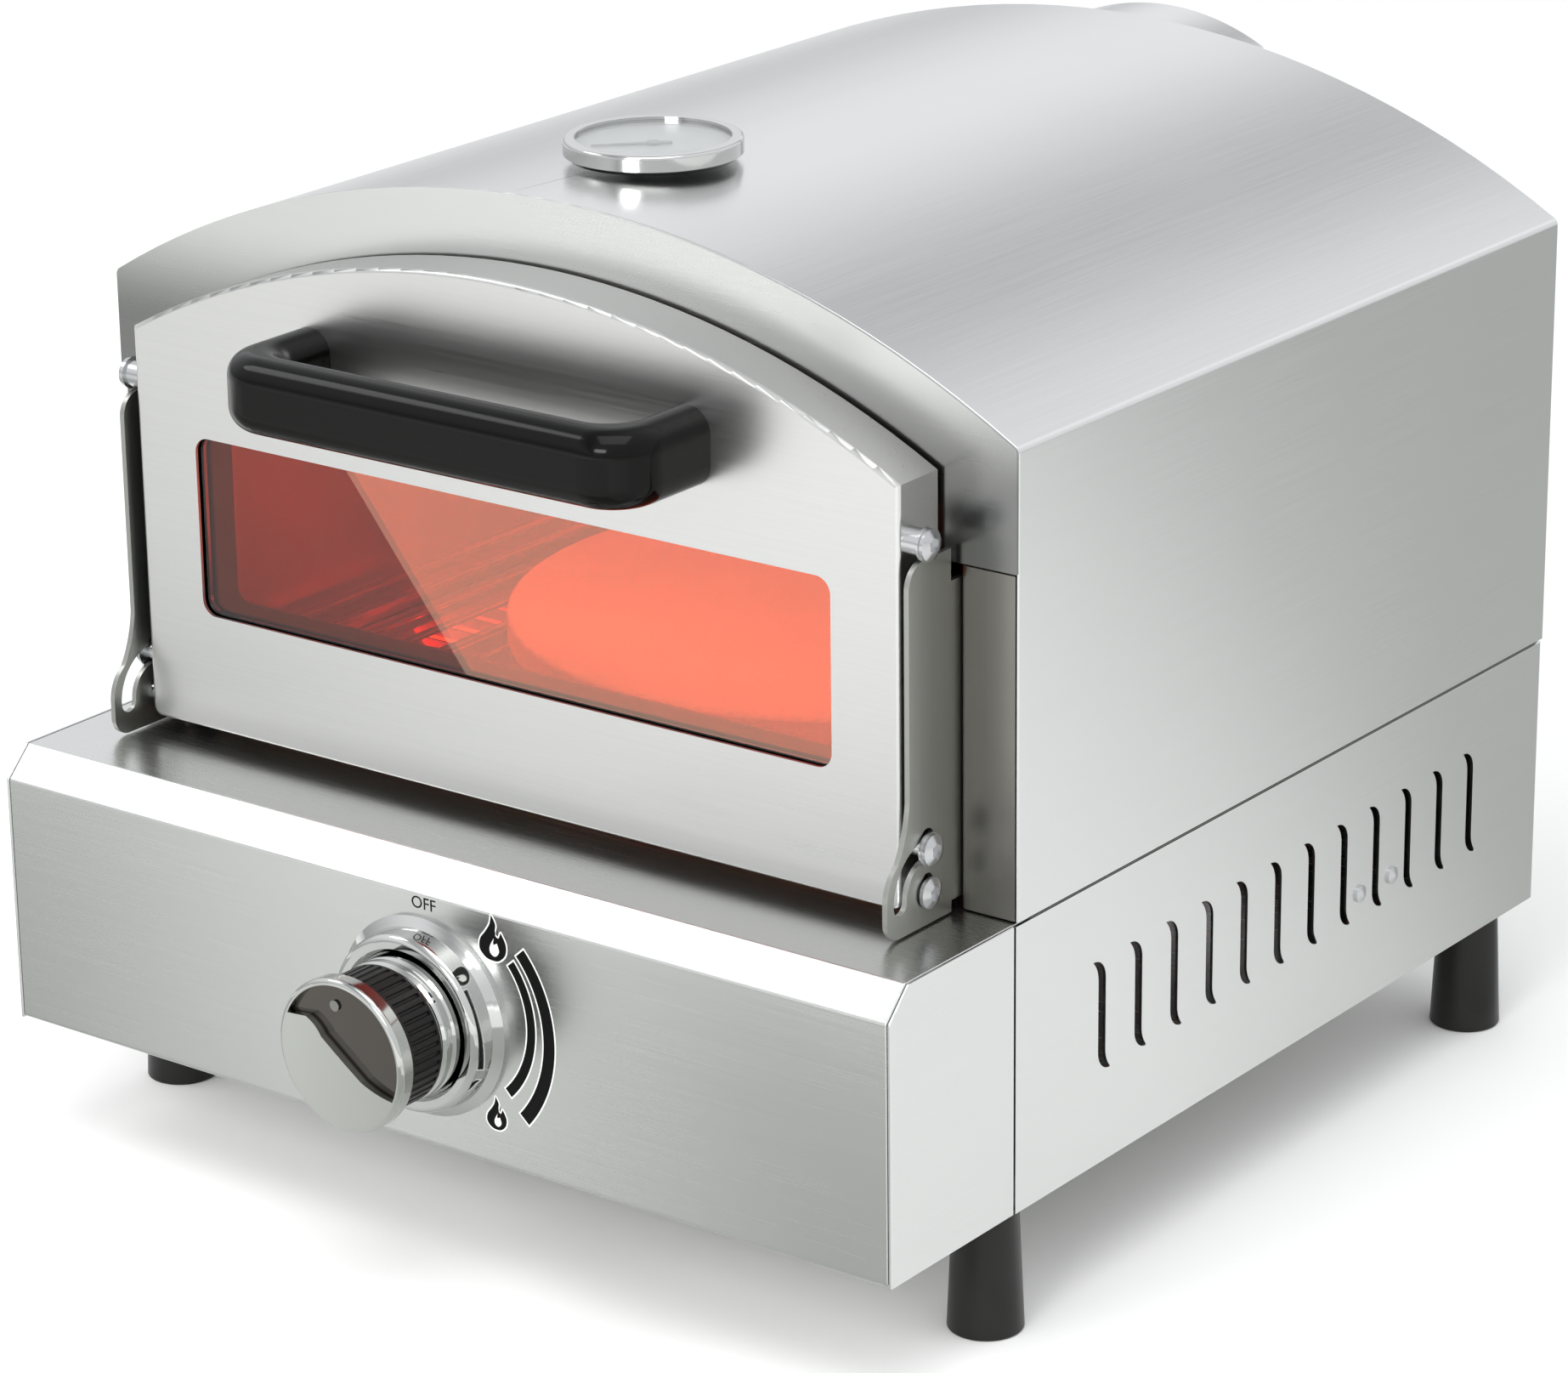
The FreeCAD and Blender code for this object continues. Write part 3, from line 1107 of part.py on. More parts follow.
def feet():
    """Four tapered feet under the pan, and the screws that hold them."""
    bottom, top = "(foot_dia / 2)", "(foot_top_dia / 2)"
    profile = [("0", "0"), (f"{bottom} - 1", "0", "1"), (bottom, "1"), (top, PAN_Z),
               ("foot_bore / 2", PAN_Z), ("foot_bore / 2", f"{PAN_Z} - foot_screw_long"),
               ("0", f"{PAN_Z} - foot_screw_long")]
    places = []
    for back_name, back in (("front", "foot_front"), ("back", FOOT_BACK)):
        for name, side in SIDES.items():
            across = f"{side} * foot_x"
            keep(turned(f"foot_{back_name}_{name}", profile), across=across, back=back)
            places.append((across, back, f"{PAN_Z} + sheet", "+Z"))
    master = turned("foot_screw", [
        ("0", "-foot_screw_long"), ("foot_screw / 2", "-foot_screw_long"),
        ("foot_screw / 2", "0"), ("foot_screw", "0"), ("foot_screw", "foot_screw / 3"),
        ("0", "foot_screw / 2")])
    keep(group("foot_screws", master, places))


def thermometer():
    """The case, dial, pointer and lens above the hood, and the probe and nut below."""
    place = {"back": "gauge_y", "up": APEX}
    rim, floor = "(gauge_radius - gauge_rim)", "(gauge_hub + 2.4)"
    top = "(gauge_hub + gauge_deep)"
    probe = "(gauge_stem / 2)"
    keep(turned("thermometer_case", [
        (f"{probe} + 0.1", "0.2"), ("gauge_boss", "0.2"), ("gauge_boss", "gauge_hub"),
        ("gauge_radius - 1.5", "gauge_hub"), ("gauge_radius", "gauge_hub + 1.4"),
        ("gauge_radius", f"{top} - 1.2", "1.2"), ("gauge_radius - 1.2", top),
        (f"{rim} - 1.2", top), (f"{rim} - 1.2", f"{top} - 1"), (rim, f"{top} - 1"),
        (rim, floor), (f"{probe} + 0.1", floor)]), **place)
    keep(turned("thermometer_dial", [
        ("pointer_pin + 0.5", f"{floor} + 0.1"), (f"{rim} - 0.2", f"{floor} + 0.1"),
        (f"{rim} - 0.2", f"{floor} + 0.6"), ("pointer_pin + 0.5", f"{floor} + 0.6")]), **place)
    keep(turned("thermometer_lens", [
        ("0", f"{top} - 2.1"), (f"{rim} - 0.2", f"{top} - 2.1"), (f"{rim} - 0.2", f"{top} - 1.1"),
        ("0", f"{top} - 1.1")]), **place)
    keep(turned("thermometer_probe", [
        ("0", "-gauge_probe"), (f"{probe} - 1", "-gauge_probe"), (probe, "1 - gauge_probe"),
        (probe, floor), ("pointer_pin + pin_gap", floor), ("pointer_pin + pin_gap", "-sheet"),
        ("0", "-sheet")]), **place)
    keep(turned("thermometer_nut", [
        (f"{probe} + 0.1", "-sheet - 5.5"), ("gauge_boss", "-sheet - 5.5"),
        ("gauge_boss", "-sheet - 0.5"), (f"{probe} + 0.1", "-sheet - 0.5")]), **place)
    needle = turned("thermometer_pointer", [
        ("0", "0"), ("pointer_pin", "0"), ("pointer_pin", f"{floor} + 0.9"),
        ("2.6", f"{floor} + 0.9"), ("2.6", f"{floor} + 1.6"), ("0", f"{floor} + 1.6")])
    pad(needle, "XY", f"{floor} + 0.9", f"{floor} + 1.4", lambda made: outline(made, [
        ("-1.3", "-0.3 * pointer_long"), ("1.3", "-0.3 * pointer_long"),
        ("0.4", "pointer_long"), ("-0.4", "pointer_long")]))
    keep(needle, turn=Rotation(Vector(0, 0, 1), 135), **place)


# ---------------------------------------------------------------------------------------------
# Build, check and write
# ---------------------------------------------------------------------------------------------

base_shell()
base_pan()
control_panel()
burner_deck()
hood_shell()
front_frame()
hood_back()
flue_visor()
chamber()
wire_rack()
pizza_stone()
burner()
igniter()
gas_line()
gas_valve()
knob()
door_outer()
door_inner()
glazing()
door_handle()
door_screws()
clamp_screws()
feet()
thermometer()
for side_name, side_sign in SIDES.items():
    control_end(side_name, side_sign)
    pillar(side_name, side_sign)
    rack_rail(side_name, side_sign)
    bracket(side_name, side_sign)

doc.recompute()
for item in doc.Objects:
    if {"Invalid", "Error"} & set(item.State):
        raise RuntimeError(f"{item.Label} failed: {item.State}")
os.makedirs("parts", exist_ok=True)
for item in parts:
    if item.Shape.isNull() or not item.Shape.isValid() or not item.Shape.Solids:
        raise RuntimeError(f"{item.Label} has no sound shape")
    item.Shape.exportStep(f"parts/{item.Label}.step")
print(len(parts), "pieces written")
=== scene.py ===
# %% [markdown]
# # A countertop pizza oven
# The real oven is a box of folded stainless sheet: a control box in front, a base with vents, and
# an arched hood with a window door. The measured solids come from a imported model. Blender adds
# what makes sheet steel, chrome, rubber and glass look real: surface, print and light.

# %% Load the measured model
import math

import bmesh
import bpy
from mathutils import Euler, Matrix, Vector


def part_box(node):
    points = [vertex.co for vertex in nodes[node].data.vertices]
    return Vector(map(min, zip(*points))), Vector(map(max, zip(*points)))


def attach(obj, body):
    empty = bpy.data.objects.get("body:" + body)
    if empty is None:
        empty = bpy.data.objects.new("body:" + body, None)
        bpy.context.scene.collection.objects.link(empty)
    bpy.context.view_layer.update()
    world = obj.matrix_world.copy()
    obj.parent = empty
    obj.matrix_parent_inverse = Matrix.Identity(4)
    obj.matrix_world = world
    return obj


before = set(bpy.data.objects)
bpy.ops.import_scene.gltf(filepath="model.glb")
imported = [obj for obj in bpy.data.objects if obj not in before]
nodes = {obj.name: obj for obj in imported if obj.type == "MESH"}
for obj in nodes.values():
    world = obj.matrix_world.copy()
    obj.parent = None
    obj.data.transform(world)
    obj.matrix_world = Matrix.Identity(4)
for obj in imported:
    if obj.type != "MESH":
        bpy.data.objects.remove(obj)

MM = 0.001
scene = bpy.context.scene
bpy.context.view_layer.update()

# %% [markdown]
# ## Camera
# The oven is seen from the right and a little above, from about two metres away. A long lens at
# that distance keeps the box's edges almost parallel.

# %% Camera
camera = bpy.data.objects.new("camera", bpy.data.cameras.new("camera"))
camera.location = (1.1363, -1.5045, 0.8239)
camera.rotation_euler = Euler([math.radians(turn) for turn in (70.47, 0.68, 36.83)])
camera.data.sensor_width = 36
camera.data.lens = 122.5
camera.data.clip_end = 50
scene.collection.objects.link(camera)
scene.camera = camera
scene.view_settings.view_transform = "Standard"
print("camera is", round(camera.location.length, 2), "m from the oven's foot")

# %% [markdown]
# ## Helpers for colour and nodes
# Colours are easiest to judge as the hex values of a screen, but a renderer mixes light in linear
# numbers. One function converts. A second adds a node with its settings and links, which keeps
# each material short enough to read as a recipe.

# %% Colour and node helpers
def linear(hex_colour):
    """The linear colour, with full alpha, of an sRGB hex value such as C8C8C4."""
    parts = [int(hex_colour[start:start + 2], 16) / 255 for start in (0, 2, 4)]
    return (*[part / 12.92 if part <= 0.04045 else ((part + 0.055) / 1.055) ** 2.4
              for part in parts], 1)


def add(tree, kind, settings=None, links=None):
    """A node with its settings, and with links that come into it by socket name or number."""
    node = tree.nodes.new(kind)
    for name, setting in (settings or {}).items():
        if isinstance(name, str) and hasattr(node, name):
            setattr(node, name, setting)
        else:
            node.inputs[name].default_value = setting
    for name, source in (links or {}).items():
        tree.links.new(source, node.inputs[name])
    return node


def new_material(name):
    """An empty material and its node tree."""
    material = bpy.data.materials.new(name)
    material.use_nodes = True
    material.node_tree.nodes.clear()
    return material, material.node_tree


def surface(tree, settings, links=None):
    """A Principled surface that ends the tree."""
    shader = add(tree, "ShaderNodeBsdfPrincipled", settings, links)
    add(tree, "ShaderNodeOutputMaterial", links={"Surface": shader.outputs[0]})
    return shader


def wear(*names, material):
    """Give CAD pieces their finish."""
    for name in names:
        slots = nodes[name].material_slots
        for slot in slots:
            slot.material = material

# %% [markdown]
# ## Brushed stainless steel
# The casing is stainless sheet, rolled and then brushed with an abrasive belt, so it carries fine
# scratches that all run one way. The eye reads them as a soft sheen that is stretched across the
# scratches. A noise texture squeezed to long thin streaks drives the roughness and a slight bump;
# a real scratch is about 0.1 mm wide, and these are drawn at 0.7 mm so that they still show.

# %% Brushed stainless steel
MIX_A, MIX_B, MIX_OUT = 6, 7, 2    # the colour sockets of a Mix node
STREAK = {"X": (14, 1400, 1400), "Y": (1400, 14, 1400), "Z": (1400, 1400, 14)}
DARK_STREAK, PALE_STREAK = 0.94, 1.04    # times the steel's own colour
PAINTED_SHADE_LEVEL = 0.34                       # the share of the colour kept low on the legs, a painted shade


def brushed_steel(name, colour, along, roughness, streak=0.04, bump=0.03, cloud=0.03,
                  painted_shade_heights=None):
    """Brushed sheet: fine streaks along one axis over broad, faint clouds. Given a pair of heights,
    the colour is painted darker below the first, as painted shade, and kept plain above the second."""
    material, tree = new_material(name)
    place = add(tree, "ShaderNodeTexCoord").outputs["Object"]
    stretched = add(tree, "ShaderNodeMapping", {"Scale": STREAK[along]}, {"Vector": place})
    streaks = add(tree, "ShaderNodeTexNoise", {"Scale": 1, "Detail": 3, "Roughness": 0.6},
                  {"Vector": stretched.outputs[0]})
    clouds = add(tree, "ShaderNodeTexNoise", {"Scale": 9, "Detail": 2}, {"Vector": place})
    rough_streaks = add(tree, "ShaderNodeMapRange", {
        "To Min": roughness - streak, "To Max": roughness + streak},
        {"Value": streaks.outputs[0]})
    rough_clouds = add(tree, "ShaderNodeMapRange", {"To Min": -cloud, "To Max": cloud},
                       {"Value": clouds.outputs[0]})
    rough = add(tree, "ShaderNodeMath", {"operation": "ADD"},
                {0: rough_streaks.outputs[0], 1: rough_clouds.outputs[0]})
    base = linear(colour)[:3]
    tint = add(tree, "ShaderNodeMix", {
        "data_type": "RGBA", MIX_A: (*[part * DARK_STREAK for part in base], 1),
        MIX_B: (*[min(part * PALE_STREAK, 1) for part in base], 1)}, {0: streaks.outputs[0]})
    relief = add(tree, "ShaderNodeBump", {"Strength": bump, "Distance": 0.1 * MM},
                 {"Height": streaks.outputs[0]})
    colour_out = tint.outputs[MIX_OUT]
    # Painted shade: below the first height the colour is darkened to stand in for shade, not heat.
    if painted_shade_heights:
        height = add(tree, "ShaderNodeSeparateXYZ", links={0: place})
        unshaded_share = add(tree, "ShaderNodeMapRange", {
            "interpolation_type": "SMOOTHSTEP", "From Min": painted_shade_heights[0], "From Max": painted_shade_heights[1],
            "To Min": PAINTED_SHADE_LEVEL, "To Max": 1}, {"Value": height.outputs["Z"]})
        shaded_colour = add(tree, "ShaderNodeMix", {"data_type": "RGBA", "blend_type": "MULTIPLY", 0: 1},
                     {MIX_A: colour_out, MIX_B: unshaded_share.outputs[0]})
        colour_out = shaded_colour.outputs[MIX_OUT]
    surface(tree, {"Metallic": 1}, {
        "Base Color": colour_out, "Roughness": rough.outputs[0],
        "Normal": relief.outputs[0]})
    return material


steel_across = brushed_steel("stainless brushed across", "D3D4D2", "X", 0.26)
# The frame's legs carry painted shade: the colour darkens below 0.345 m to stand in for shade.
steel_frame = brushed_steel("stainless frame, painted shade on legs", "D3D4D2", "X", 0.26,
                            painted_shade_heights=(0.300, 0.345))
steel_lengthways = brushed_steel("stainless brushed lengthways", "DADBDA", "Y", 0.24)
steel_door = brushed_steel("stainless door, fine brushed", "D6D6D4", "X", 0.30, streak=0.05,
                           bump=0.06)
# Bracket and pillar are the casing's steel in a darker colour: painted shade for their recessed
# places. Their higher roughness is the satin finish.
steel_bracket = brushed_steel("stainless bracket, satin, painted shade", "A5A6A1", "Z", 0.34)
steel_pillar = brushed_steel("stainless pillar, satin, painted shade", "8B8984", "Z", 0.30)
wear("front_frame", material=steel_frame)
wear("control_panel", "hood_back", "base_pan", "burner_deck",
     material=steel_across)
wear("hood_shell", "base_shell", "control_end_left", "control_end_right", "flue_visor",
     material=steel_lengthways)
wear("door_outer", material=steel_door)
wear("bracket_left", "bracket_right", material=steel_bracket)
wear("pillar_left", "pillar_right", material=steel_pillar)

# %% [markdown]
# ## Steel inside the chamber
# The liner, floor and guard are the same steel, but heat dulls them and leaves straw and blue-grey
# temper colours in patches. A broad noise mixes two tints and roughens the sheen.

# %% Heat-dulled steel
def heat_dulled_steel(name, pale, straw, roughness):
    """Steel with blotches of temper colour."""
    material, tree = new_material(name)
    place = add(tree, "ShaderNodeTexCoord").outputs["Object"]
    blotch = add(tree, "ShaderNodeTexNoise", {"Scale": 24, "Detail": 5, "Roughness": 0.55},
                 {"Vector": place})
    tint = add(tree, "ShaderNodeMix", {"data_type": "RGBA", MIX_A: linear(pale),
                                       MIX_B: linear(straw)}, {0: blotch.outputs[0]})
    rough = add(tree, "ShaderNodeMapRange", {"To Min": roughness - 0.1, "To Max": roughness + 0.1},
                {"Value": blotch.outputs[0]})
    surface(tree, {"Metallic": 1}, {"Base Color": tint.outputs[MIX_OUT],
                                    "Roughness": rough.outputs[0]})
    return material


chamber_steel = heat_dulled_steel("heat-dulled chamber steel", "B9B4AC", "A38B6D", 0.38)
wear("chamber_liner", "chamber_back", "chamber_floor", "flue_duct", "rack_rail_left",
     "rack_rail_right", "door_inner", "burner_tube", "flame_guard", material=chamber_steel)

# %% [markdown]
# ## Chrome, zinc and brass
# The knob and the dial's case are chrome-plated zinc: a mirror with the faintest haze. The screws
# are zinc-plated steel, duller and faintly cloudy. Gas fittings are turned from brass, which shows
# fine rings from the lathe. A metal's colour is its reflection's colour, so each is set there.

# %% Plated and turned metals
def plated_metal(name, colour, roughness, cloud=0.04, grain=600):
    """A plated or turned metal with a slightly uneven polish."""
    material, tree = new_material(name)
    place = add(tree, "ShaderNodeTexCoord").outputs["Object"]
    uneven = add(tree, "ShaderNodeTexNoise", {"Scale": grain, "Detail": 2}, {"Vector": place})
    rough = add(tree, "ShaderNodeMapRange", {"To Min": max(roughness - cloud, 0.02),
                                             "To Max": roughness + cloud},
                {"Value": uneven.outputs[0]})
    relief = add(tree, "ShaderNodeBump", {"Strength": 0.04, "Distance": 0.05 * MM},
                 {"Height": uneven.outputs[0]})
    surface(tree, {"Base Color": linear(colour), "Metallic": 1},
            {"Roughness": rough.outputs[0], "Normal": relief.outputs[0]})
    return material


chrome = plated_metal("bright chrome plate", "C9CAC8", 0.07, cloud=0.03)
rack_wire = plated_metal("chromed rack wire", "D4CFCB", 0.20)
zinc = plated_metal("zinc-plated screws", "C4C5C6", 0.24)
brass = plated_metal("turned brass", "C9A65A", 0.25, grain=900)
drawn_tube = plated_metal("drawn aluminium tube", "C9CBCC", 0.30)
cast_iron = plated_metal("cast iron burner mixer", "4A4A4B", 0.60, cloud=0.12, grain=900)
wear("knob_skirt", "knob_bezel", "thermometer_case", material=chrome)
wear("wire_rack", material=rack_wire)
wear("igniter_pin", "push_collar", "glass_retainer", "handle_screws", "door_posts",
     "guide_screws", "pivot_screws", "clamp_screws", "foot_screws", "thermometer_probe",
     "thermometer_nut", material=zinc)
wear("gas_jet", "gas_inlet", "gas_valve", "valve_stem", material=brass)
wear("supply_pipe", "burner_pipe", material=drawn_tube)
wear("gas_mixer", material=cast_iron)

# %% [markdown]
# ## The knob's cap
# The cap is chromed all over, and the hollow of its face is painted a dark grey: a painted shade
# that stands in for the shade the hollow holds. The hollow is told from the rest by two measures:
# how far in from the face a point lies, and how far from the knob's axis.

# %% Knob cap
def polished_cap(face_y, axis_x, axis_z, hollow_deep, hollow_radius):
    """Chrome with painted shade of dark grey in its hollow, from the cap's own measures in metres.
    """
    material, tree = new_material("chrome plate, painted shade in hollow")
    place = add(tree, "ShaderNodeTexCoord").outputs["Object"]
    spot = add(tree, "ShaderNodeSeparateXYZ", links={0: place})
    inward = add(tree, "ShaderNodeMapRange", {"From Min": face_y + hollow_deep * 0.6,
                                              "From Max": face_y + hollow_deep * 0.9},
                 {"Value": spot.outputs["Y"]})
    flat = add(tree, "ShaderNodeVectorMath", {"operation": "MULTIPLY", 1: (1, 0, 1)}, {0: place})
    reach = add(tree, "ShaderNodeVectorMath", {"operation": "DISTANCE", 1: (axis_x, 0, axis_z)},
                {0: flat.outputs[0]})
    inside = add(tree, "ShaderNodeMapRange", {"From Min": hollow_radius - 0.1 * MM,
                                              "From Max": hollow_radius, "To Min": 1, "To Max": 0},
                 {"Value": reach.outputs["Value"]})
    hollow = add(tree, "ShaderNodeMath", {"operation": "MULTIPLY"},
                 {0: inward.outputs[0], 1: inside.outputs[0]})
    haze = add(tree, "ShaderNodeTexNoise", {"Scale": 300, "Detail": 3}, {"Vector": place})
    # 625E5A is painted shade: the hollow is darkened where shade falls, though the plate is the
    #                          same chrome.
    tint = add(tree, "ShaderNodeMix", {"data_type": "RGBA", MIX_A: linear("C3C5C1"),
                                       MIX_B: linear("625E5A")}, {0: hollow.outputs[0]})
    rough = add(tree, "ShaderNodeMapRange", {"To Min": 0.05, "To Max": 0.12},
                {"Value": haze.outputs[0]})
    surface(tree, {"Metallic": 1}, {"Base Color": tint.outputs[MIX_OUT],
                                    "Roughness": rough.outputs[0]})
    return material


cap_low, cap_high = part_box("knob_cap")
cap_middle = (cap_low + cap_high) / 2
wear("knob_cap", material=polished_cap(cap_low.y, cap_middle.x, cap_middle.z, 3.6 * MM,
                                       (cap_high.x - cap_low.x) / 2 - 2 * MM))
print("knob cap is", round((cap_high.x - cap_low.x) / MM, 1), "mm across")

# %% [markdown]
# ## Black plastics and rubber
# The handle is moulded phenolic, which keeps cool and takes a deep gloss. The knob's grip is a
# ribbed, matt nylon, and the feet are moulded rubber. All three are black, so only the shape and
# sharpness of their highlights tell them apart: roughness does most of the work.

# %% Plastics, rubber and ceramic
def moulded(name, colour, roughness, grain, relief_strength, shine=0.5):
    """A moulded plastic, rubber or glaze with a fine tooled grain."""
    material, tree = new_material(name)
    place = add(tree, "ShaderNodeTexCoord").outputs["Object"]
    tooling = add(tree, "ShaderNodeTexNoise", {"Scale": grain, "Detail": 3}, {"Vector": place})
    rough = add(tree, "ShaderNodeMapRange", {"To Min": max(roughness - 0.06, 0.03),
                                             "To Max": roughness + 0.06},
                {"Value": tooling.outputs[0]})
    relief = add(tree, "ShaderNodeBump", {"Strength": relief_strength, "Distance": 0.1 * MM},
                 {"Height": tooling.outputs[0]})
    surface(tree, {"Base Color": linear(colour), "IOR": 1.52, "Specular IOR Level": shine},
            {"Roughness": rough.outputs[0], "Normal": relief.outputs[0]})
    return material


phenolic = moulded("gloss black phenolic", "040403", 0.12, 700, 0.02, shine=0.16)
nylon = moulded("matt black nylon", "100F0E", 0.40, 1600, 0.25, shine=0.35)
rubber = moulded("moulded black rubber", "12110F", 0.36, 1500, 0.2, shine=0.35)
glazed_ceramic = moulded("glazed white ceramic", "EFEDE6", 0.18, 500, 0.05)
silicone = moulded("red silicone sleeve", "B32E22", 0.45, 900, 0.1)
wear("door_handle", material=phenolic)
wear("knob_grip", material=nylon)
wear("foot_front_left", "foot_front_right", "foot_back_left", "foot_back_right", material=rubber)
wear("igniter_ceramic", material=glazed_ceramic)
wear("igniter_lead", material=silicone)

# %% [markdown]
# ## Baking stone
# The stone is pressed cordierite: a pale tan ceramic with darker grit and open pores about half a
# millimetre across, which drink the light.

# %% Cordierite stone
def cordierite():
    """Pale speckled stone with pores."""
    material, tree = new_material("pressed cordierite")
    place = add(tree, "ShaderNodeTexCoord").outputs["Object"]
    grit = add(tree, "ShaderNodeTexVoronoi", {"Scale": 700}, {"Vector": place})
    speck = add(tree, "ShaderNodeValToRGB", links={0: grit.outputs["Distance"]})
    speck.color_ramp.elements[0].position = 0.08
    speck.color_ramp.elements[0].color = linear("9C8462")
    speck.color_ramp.elements[1].position = 0.32
    speck.color_ramp.elements[1].color = linear("D8C6A4")
    bake = add(tree, "ShaderNodeTexNoise", {"Scale": 22, "Detail": 4}, {"Vector": place})
    tone = add(tree, "ShaderNodeMix", {"data_type": "RGBA", "blend_type": "MULTIPLY",
                                       MIX_B: linear("E4D6BE")},
               {0: bake.outputs[0], MIX_A: speck.outputs[0]})
    relief = add(tree, "ShaderNodeBump", {"Strength": 0.5, "Distance": 0.3 * MM},
                 {"Height": grit.outputs["Distance"]})
    surface(tree, {"Roughness": 0.85}, {"Base Color": tone.outputs[MIX_OUT],
                                        "Normal": relief.outputs[0]})
    return material


wear("pizza_stone", material=cordierite())

# %% [markdown]
# ## Glass
# The window is tempered glass 4 mm thick. It is modelled as a real slab, so light bends in and out
# of it and both faces reflect. The dial's lens is a thin disc of clear glass.

# %% Glass
def glass(name, tint, roughness, smear, shine=0.5):
    """Clear glass with faint smears that soften its reflection."""
    material, tree = new_material(name)
    place = add(tree, "ShaderNodeTexCoord").outputs["Object"]
    wiped = add(tree, "ShaderNodeTexNoise", {"Scale": 30, "Detail": 3}, {"Vector": place})
    rough = add(tree, "ShaderNodeMapRange", {"To Min": roughness, "To Max": roughness + smear},
                {"Value": wiped.outputs[0]})
    surface(tree, {"Base Color": linear(tint), "IOR": 1.52, "Transmission Weight": 1,
                   "Specular IOR Level": shine},
            {"Roughness": rough.outputs[0]})
    return material


wear("door_glass", material=glass("heat-tinted window glass", "FF6A40", 0.0, 0.01, 0.2))
wear("thermometer_lens", material=glass("dial lens", "F4F6F6", 0.02, 0.03))

# %% [markdown]
# ## Dial
# The dial's face is a stamped plate with pale grey enamel, and its needle is grey lacquered brass.

# %% Dial enamel
wear("thermometer_dial", material=moulded("pale grey dial enamel", "D2D4D1", 0.3, 900, 0.02))
wear("thermometer_pointer", material=moulded("grey lacquer", "7C7E7C", 0.3, 900, 0.02))

# %% [markdown]
# ## Eased edges
# A cut or folded sheet never ends in a perfect edge: the press and the deburring brush leave a
# radius of a few tenths of a millimetre, and it catches a thin bright line of light all round the
# oven. A Bevel modifier adds that radius to the sheet pieces without touching their own mesh.

# %% Eased edges
def ease_edges(name, width):
    """A small rounded edge on a CAD piece, by modifiers alone."""
    piece = nodes[name]
    weld = piece.modifiers.new("join the facets", "WELD")
    weld.merge_threshold = 0.001 * MM
    bevel = piece.modifiers.new("eased edge", "BEVEL")
    bevel.width = width
    bevel.segments = 2
    bevel.limit_method = "ANGLE"
    bevel.angle_limit = math.radians(38)
    bevel.harden_normals = False
    shading = piece.modifiers.new("flat faces stay flat", "WEIGHTED_NORMAL")
    shading.keep_sharp = False


for sheet_piece in ("control_panel", "control_end_left", "control_end_right", "base_shell",
                    "hood_shell", "front_frame", "hood_back", "flue_visor", "pillar_left",
                    "pillar_right", "bracket_left", "bracket_right"):
    ease_edges(sheet_piece, 0.5 * MM)
print("eased the edges of the sheet pieces")

# %% [markdown]
# ## Print on the control panel
# The heat scale beside the knob is screen-printed: two tapering arcs, a large flame at the hot end
# and a small one at the low end, in black with a thin pale edge. Each mark is a flat mesh that
# stands at most a tenth of a millimetre off the panel, about as thick as ink.

# %% Printing inks
def ink(name, colour, roughness):
    """Screen-printed ink: slightly uneven, soft sheen."""
    return moulded(name, colour, roughness, 1200, 0.05, shine=0.15)


black_ink = ink("black screen print", "060606", 0.6)
pale_ink = ink("pale screen print", "F2F3F0", 0.5)

# %% Marks
panel_low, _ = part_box("control_panel")
knob_low, knob_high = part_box("knob_bezel")
knob_centre = (knob_low + knob_high) / 2
PANEL_Y = panel_low.y


def mark(name, outline, material, lift, band=False):
    """A flat mark on the panel from an outline in millimetres about the knob's centre.

    A band's outline goes out along one edge and back along the other, and is filled across.
    """
    shape = bmesh.new()
    corners = [shape.verts.new((knob_centre.x + across * MM, PANEL_Y - lift * MM,
                                knob_centre.z + up * MM)) for across, up in outline]
    if band:
        for near, far in zip(range(len(corners) // 2 - 1), range(len(corners) - 1, 0, -1)):
            shape.faces.new((corners[near], corners[near + 1], corners[far - 1], corners[far]))
    else:
        bmesh.ops.triangulate(shape, faces=[shape.faces.new(corners)])
    bmesh.ops.recalc_face_normals(shape, faces=shape.faces)
    mesh = bpy.data.meshes.new(name)
    shape.to_mesh(mesh)
    shape.free()
    if mesh.polygons and mesh.polygons[0].normal.y > 0:
        mesh.flip_normals()
    piece = bpy.data.objects.new(name, mesh)
    piece.data.materials.append(material)
    scene.collection.objects.link(piece)
    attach(piece, "oven")
    return piece


def arc_band(centre, radius, start_width, end_width, start, end, grow=0.0, steps=28):
    """A curved band whose width goes from start_width to end_width, angles in degrees."""
    sweep = math.degrees(grow / radius)
    outer, inner = [], []
    for step in range(steps + 1):
        part = step / steps
        turn = math.radians(start + sweep + (end - start - 2 * sweep) * part)
        half = (start_width + (end_width - start_width) * part) / 2 + grow
        for edge, reach in ((outer, radius + half), (inner, radius - half)):
            edge.append((centre[0] + reach * math.cos(turn), centre[1] + reach * math.sin(turn)))
    return outer + inner[::-1]


def smooth_outline(corners, tips, steps=6):
    """A closed curve through every corner that stays pointed at the numbered tips."""
    count, line = len(corners), []
    for index in range(count):
        start, end = Vector(corners[index]), Vector(corners[(index + 1) % count])
        before = start if index in tips else Vector(corners[index - 1])
        after = end if (index + 1) % count in tips else Vector(corners[(index + 2) % count])
        for step in range(steps):
            part = step / steps
            line.append(0.5 * (2 * start + (end - before) * part
                               + (2 * before - 5 * start + 4 * end - after) * part ** 2
                               + (3 * start - before - 3 * end + after) * part ** 3))
    return line


